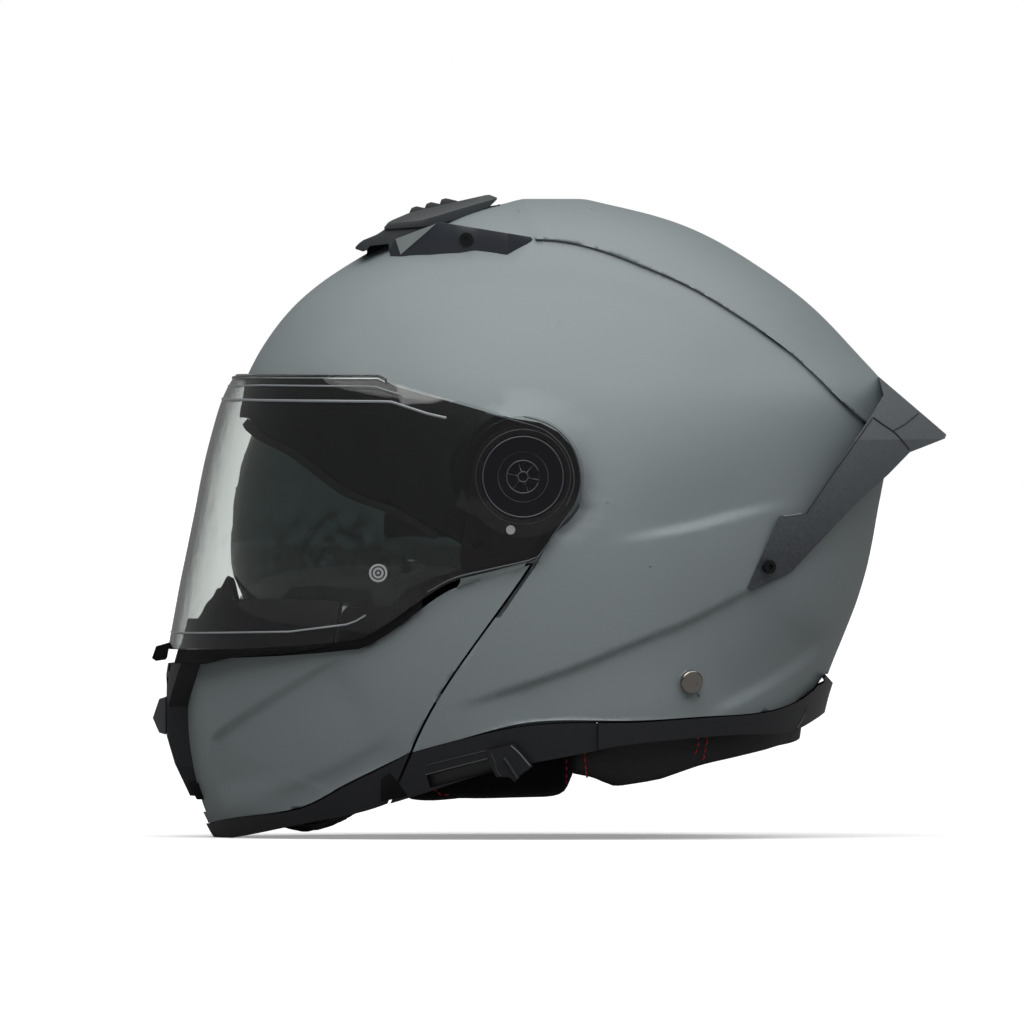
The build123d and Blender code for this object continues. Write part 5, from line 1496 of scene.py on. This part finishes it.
@dataclass
class SoftPad:
    """A padded piece: its CAD form, evened and softened, given a slight ripple, its front drawn forward and
    what hangs below its hem lifted.
    """

    node: str
    name: str
    body: str
    slot: str
    fill: float
    voxel: float = 0.0035
    rounds: int = 6
    ripple: float = 0.0004
    front: float = 0.0
    front_reach: float = 0.03
    floor: Points = ()
    hang: float = 0.12
    waves: float = 90.0
    waver: float = 1.7
    slant: float = 1.3
    hollow: float = 0.6

    def build(self) -> None:
        """Build the pad, in place of its node."""
        bm = voxel_copy(self.node, self.voxel)
        smooth(bm, bm.verts, self.rounds)
        self.crumple(bm)
        self.fit(bm)
        piece = add_piece(bm, self.name, self.body, self.slot, stands_for=[self.node], sharp=SHARP_CLOTH)

    def fit(self, bm: bmesh.types.BMesh) -> None:
        """Draw the pad's front end forward, and lift what hangs below its hem.

        Args:
            bm: The pad's mesh.
        """
        first = min(v.co.x for v in bm.verts)
        for vert in bm.verts:
            near = max(0.0, 1.0 - (vert.co.x - first) / self.front_reach)
            vert.co.x -= self.front * near
            if self.floor:
                hem = px_z(level(self.floor, column(vert.co.x)))
                if vert.co.z < hem:
                    vert.co.z = hem + (vert.co.z - hem) * self.hang

    def crumple(self, bm: bmesh.types.BMesh) -> None:
        """Give the cover the slight unevenness of sewn cloth.

        Args:
            bm: The pad's mesh.
        """
        bm.normal_update()
        for vert in bm.verts:
            x, y, z = vert.co * self.waves
            wave = math.sin(x + self.waver * math.sin(z)) * math.sin(self.slant * y + z) - self.hollow
            vert.co += vert.normal * (self.ripple * wave)


NECK_HEM: Points = ((583, 785), (620, 783), (660, 776), (700, 763), (745, 751), (790, 741), (820, 731))
SOFT_PADS = (
    *(SoftPad("cheek_pad_" + tag, "cheek_cushion_" + tag, "helmet", "lining", 0.8) for tag in SIDES),
    *(
        SoftPad(
            "neck_roll_" + tag, "neck_cushion_" + tag, "helmet", "neck_fabric", 0.7, 0.0028,
            front=0.0085, floor=NECK_HEM,
        )
        for tag in SIDES
    ),
    SoftPad("chin_pad", "chin_cushion", "chin_bar", "lining", 0.8),
    SoftPad("crown_liner", "crown_cushion", "helmet", "lining", 0.6, 0.004, 4),
)
CHEEK_SEAMS: Sequence[Points] = (((565, 742), (566, 760), (566, 782)), ((433, 786), (441, 792), (452, 792)))
NECK_SEAMS: Sequence[Points] = (
    ((584, 740), (585, 762), (588, 784)),
    ((697, 725), (697, 740), (694, 752)),
    ((707, 724), (706, 738), (703, 753)),
)


@dataclass(frozen=True)
class Webbing:
    """A length of strap, woven flat, in place of its CAD solid."""

    node: str
    voxel: float = 0.0009
    rounds: int = 2

    def build(self) -> None:
        """Build the strap with softened edges."""
        bm = voxel_copy(self.node, self.voxel)
        smooth(bm, bm.verts, self.rounds)
        add_piece(bm, self.node + "_webbing", "helmet", "webbing", stands_for=[self.node], sharp=SHARP_RIB)


@dataclass
class Curtain:
    """The cloth under the chin, one sheet stretched from side to side."""

    rows: int = 56
    columns: int = 14
    reach: float = 0.0846
    thickness: float = 0.0012
    front: float = -0.1400
    back: float = -0.0780
    probe: float = 0.0004
    below: float = -0.05
    rise: float = 0.0006
    ripple: float = 0.0005
    ripple_turns: tuple[float, float] = (1.7, 0.9)

    def build(self) -> None:
        """Build the sheet in place of its solid."""
        skin = Skin("chin_curtain")
        up = Vector((0.0, 0.0, 1.0))
        bm = bmesh.new()
        rows = []
        for i in range(self.rows + 1):
            y = self.reach * (2.0 * i / self.rows - 1.0)
            probes = np.arange(self.front, self.back, self.probe)
            found = [skin.touch(Vector((x, y, self.below)), up) for x in probes]
            met = [f[0] for f in found if f]
            if len(met) < 4:
                continue
            row = []
            for j in range(self.columns + 1):
                place = met[round(j * (len(met) - 1) / self.columns)].copy()
                along, across = j * self.ripple_turns[0], i * self.ripple_turns[1]
                place.z += self.rise + self.ripple * math.sin(along) * math.sin(across)
                row.append(place)
            rows.append(row)
        grid = [[bm.verts.new(place) for place in row] for row in rows]
        for a, b in zip(grid, grid[1:]):
            for j in range(self.columns):
                bm.faces.new((a[j], a[j + 1], b[j + 1], b[j]))
        area = sum(f.calc_area() for f in bm.faces)
        bmesh.ops.recalc_face_normals(bm, faces=bm.faces)
        bmesh.ops.solidify(bm, geom=bm.faces, thickness=self.thickness)
        bmesh.ops.recalc_face_normals(bm, faces=bm.faces)
        piece = add_piece(
            bm, "curtain_cloth", "chin_bar", "neck_fabric", stands_for=["chin_curtain"], sharp=SHARP_RIB,
        )


@dataclass
class Lining:
    """The comfort lining and the webbing."""

    pads: Sequence[SoftPad] = SOFT_PADS

    def build(self) -> None:
        """Build every pad, strap and the curtain."""
        for pad in self.pads:
            pad.build()
        for tag in SIDES:
            Webbing("strap_" + tag).build()
        Curtain().build()
        for tag, side in SIDES.items():
            LinerWedge(side).build()
            for kind, slot, seams in (("cheek", "lining", CHEEK_SEAMS), ("neck", "neck_fabric", NECK_SEAMS)):
                for i, line in enumerate(seams):
                    row = StitchRow(f"{kind}_stitches_{i}", "helmet", slot, RED_THREAD, line)
                    row.build(f"{kind}_cushion_{tag}", side)


@dataclass
class Studio:
    """The floor, the lights and the camera."""

    centre: tuple[float, float, float] = (-0.0165, 0.0, 0.143)
    distance: float = 20.0
    tilt: float = 0.3
    frame_width: float = 0.4506
    sensor: float = 36.0
    floor_span: float = 60.0
    floor_glow: float = 0.3
    floor_bounce: float = 0.22
    floor_pale: float = 0.9
    sky: float = 0.16
    sun_energy: float = 2.7
    sun_angle: float = 100.0
    sun_lean: tuple[float, float] = (14.0, 6.0)

    def build(self) -> None:
        """Set the scene round the helmet."""
        self.make_floor()
        self.make_sky()
        self.make_sun()
        self.make_light("Overhead", place=(-0.2, -0.9, 1.3), size=1.2, watts=9.0)
        self.make_camera()
        bpy.context.scene.view_settings.view_transform = "Standard"

    def make_floor(self) -> None:
        """Lay the plain pale floor."""
        bm = bmesh.new()
        bmesh.ops.create_grid(bm, x_segments=8, y_segments=8, size=self.floor_span / 2)
        mesh = bpy.data.meshes.new("floor")
        bm.to_mesh(mesh)
        bm.free()
        floor = bpy.data.objects.new("floor", mesh)
        bpy.context.scene.collection.objects.link(floor)
        pale = (self.floor_pale,) * 3
        finish = Finish("Pale floor", pale, (0.89,) * 3, (0.85, 0.9), Surface.PEEL, 80.0, 0.00001)
        made = finish.material()
        graph = Graph(made.node_tree)
        shader = made.node_tree.nodes["Principled BSDF"]
        shader.inputs["Emission Color"].default_value = (1.0, 1.0, 1.0, 1.0)
        seen = graph.add("LightPath").outputs["Is Camera Ray"]
        graph.feed(shader.inputs["Emission Strength"], graph.math("MULTIPLY", seen, self.floor_glow))
        shown = graph.add("Mix", data_type="RGBA")
        graph.feed(shown.inputs["Factor"], seen)
        graph.feed(shown.inputs[6], (*(self.floor_bounce,) * 3, 1.0))
        graph.feed(shown.inputs[7], (*pale, 1.0))
        graph.feed(shader.inputs["Base Color"], shown.outputs[2])
        mesh.materials.append(made)

    def make_sky(self) -> None:
        """Light the scene softly all round, with a white backdrop behind it."""
        world = bpy.data.worlds.new("studio")
        world.use_nodes = True
        bpy.context.scene.world = world
        graph = Graph(world.node_tree)
        rays = graph.add("LightPath").outputs
        seen = graph.math("MAXIMUM", rays["Is Camera Ray"], rays["Is Transmission Ray"])
        turns = graph.math("MINIMUM", graph.math("ADD", rays["Diffuse Depth"], rays["Glossy Depth"]), 1.0)
        seen = graph.math("MULTIPLY", seen, graph.math("SUBTRACT", 1.0, turns))
        strength = graph.math("MULTIPLY_ADD", seen, 1.0 - self.sky, self.sky)
        back = world.node_tree.nodes["Background"]
        back.inputs["Color"].default_value = (1.0, 1.0, 1.0, 1.0)
        graph.feed(back.inputs["Strength"], strength)

    def make_sun(self) -> None:
        """Light everything evenly and very softly from above."""
        lamp = bpy.data.lights.new("Tent", "SUN")
        lamp.energy = self.sun_energy
        lamp.angle = math.radians(self.sun_angle)
        holder = bpy.data.objects.new("Tent", lamp)
        holder.rotation_euler = (*map(math.radians, self.sun_lean), 0.0)
        bpy.context.scene.collection.objects.link(holder)

    def make_light(self, name: str, place: tuple[float, float, float], size: float, watts: float) -> None:
        """Hang a soft square light that faces the helmet.

        Args:
            name: The light's name.
            place: Where it hangs.
            size: The length of its sides, in metres.
            watts: Its power.
        """
        lamp = bpy.data.lights.new(name, "AREA")
        lamp.size = size
        lamp.energy = watts
        holder = bpy.data.objects.new(name, lamp)
        holder.location = place
        heading = Vector(self.centre) - Vector(place)
        holder.rotation_euler = heading.to_track_quat("-Z", "Y").to_euler()
        bpy.context.scene.collection.objects.link(holder)

    def make_camera(self) -> None:
        """Set the camera at the photograph's angle and framing."""
        lens = bpy.data.cameras.new("photo")
        lens.sensor_width = self.sensor
        lens.lens = self.sensor * self.distance / self.frame_width
        camera = bpy.data.objects.new("photo", lens)
        slope = math.radians(self.tilt)
        back = Vector((0.0, -math.cos(slope), math.sin(slope)))
        camera.location = Vector(self.centre) + back * self.distance
        camera.rotation_euler = (-back).to_track_quat("-Z", "Y").to_euler()
        bpy.context.scene.collection.objects.link(camera)
        bpy.context.scene.camera = camera


@dataclass
class BreathGuard:
    """The curved guard over the nose, highest in its middle."""

    outer: Points = ((198, 642), (197, 619), (203, 607), (213, 593), (228, 575))
    inner: Points = ((233, 578), (218, 597), (209, 611), (203, 622), (203, 642))
    half: float = 0.034
    foot: float = 642.0
    drop: float = 0.5
    set_back: float = 9.0
    stations: int = 17
    edge: float = 0.0004
    edge_turn: float = 40.0

    def build(self) -> None:
        """Build the guard in place of its solid."""
        bm = bmesh.new()
        rings = []
        for y in np.linspace(-self.half, self.half, self.stations):
            out = (y / self.half) ** 2
            back, height = self.set_back * out, 1.0 - self.drop * out
            rings.append([
                Vector((px_x(x + back), y, px_z(self.foot - (self.foot - z) * height)))
                for x, z in (*self.outer, *self.inner)
            ])
        loft(bm, rings)
        soften(bm, self.edge, self.edge_turn)
        add_piece(bm, "nose_guard", "chin_bar", "rubber", stands_for=["breath_guard"])


# The plate's slots, laid as thin flat plates in painted shade rather than cut as openings.
PLATE_SLOTS: Sequence[Points] = (
    ((472, 540), (483, 538), (485, 546), (474, 548)),
    ((489, 542), (511, 545), (508, 552), (487, 548)),
)


@dataclass
class TrimBacking:
    """Dark backings in painted shade, closing gaps: behind the joint of both trims, where they also stand for
    the dark lining, and behind the chin's air intake.
    """

    outline: Points = ((382, 776), (420, 750), (421, 786), (408, 793), (392, 797), (381, 799))
    near: float = 0.104
    far: float = 0.101
    spine: Points = ((164.5, 697), (171, 695), (172, 736), (165.5, 733))
    foot: Points = ((189, 784), (200, 782), (206, 799), (197, 799))
    spine_half: float = 0.012
    foot_half: float = 0.020
    flap_edge: float = 0.0005
    edge: float = 0.0004

    def build(self) -> None:
        """Build the flap on both sides, and the intake's spine and foot."""
        for tag, side in SIDES.items():
            bm = self.slab(self.outline, side * self.far, side * self.near, self.flap_edge)
            add_piece(bm, "trim_flap_" + tag, "helmet", "rubber", SHADE_BLACK)
        blocks = (("vent_spine", self.spine, self.spine_half), ("vent_foot", self.foot, self.foot_half))
        for name, outline, half in blocks:
            bm = self.slab(outline, -half, half, self.edge)
            add_piece(bm, name, "chin_bar", "vent_grey", SHADE_BLACK)

    def slab(self, outline: Points, start: float, end: float, edge: float) -> bmesh.types.BMesh:
        """Make a slab with softened edges.

        Args:
            outline: Its outline in the side view.
            start: Its first face's place in Y.
            end: Its other face's place.
            edge: How wide the softened edges are.

        Returns:
            The slab's mesh.
        """
        bm = bmesh.new()
        loft(bm, [[Vector((px_x(x), y, px_z(z))) for x, z in outline] for y in (start, end)])
        soften(bm, edge)
        return bm


OWN_FINISHES = {
    "spoiler": SPOILER_PAINTED_LIGHT,
    "slider_track": TRACK_GREY_AND_HIGHLIGHT,
    "visor_base_plate_left": MAROON,
    "visor_base_plate_right": MAROON,
    "shield_tab": SHADE_BLACK,
    "guide_pins": FINISHES["pin_silver"],
    "fin_screws": BLACK_SCREW,
    "spoiler_screws": BLACK_SCREW,
}


def dress_nodes() -> None:
    """Give every CAD node that stays its slot's finish."""
    slots = {row["node"]: row["material_slot"] for row in frame["record"]["subparts"]}
    for name, node in frame["nodes"].items():
        finish = OWN_FINISHES.get(name, FINISHES[slots[name]])
        node.data.materials.clear()
        node.data.materials.append(finish.material())


def main() -> None:
    """Build the studio and every sub-assembly in order."""
    logging.basicConfig(level=logging.INFO, format="%(name)s: %(message)s")
    Studio().build()
    dress_nodes()
    PaintedSkin("outer_shell", "painted_shell", "helmet", SHELL_CREASES).build()
    PaintedSkin("chin_bar_shell", "painted_chin_bar", "chin_bar", CHIN_CREASES, (MAROON, SHADE_BLACK)).build()
    VisorEdges().build()
    Sill().build()
    for rail in SIDE_RAILS:
        for side in rail.sides:
            rail.build(side)
    TopIntake().build()
    for side in SIDES.values():
        for i, outline in enumerate(PLATE_SLOTS):
            Badge("chin_bar_shell", f"plate_slot_{i}", "chin_bar", "rubber", SHADE_BLACK, outline).build(side)
    TrimBacking().build()
    BreathGuard().build()
    Lining().build()


if __name__ == "__main__":
    main()
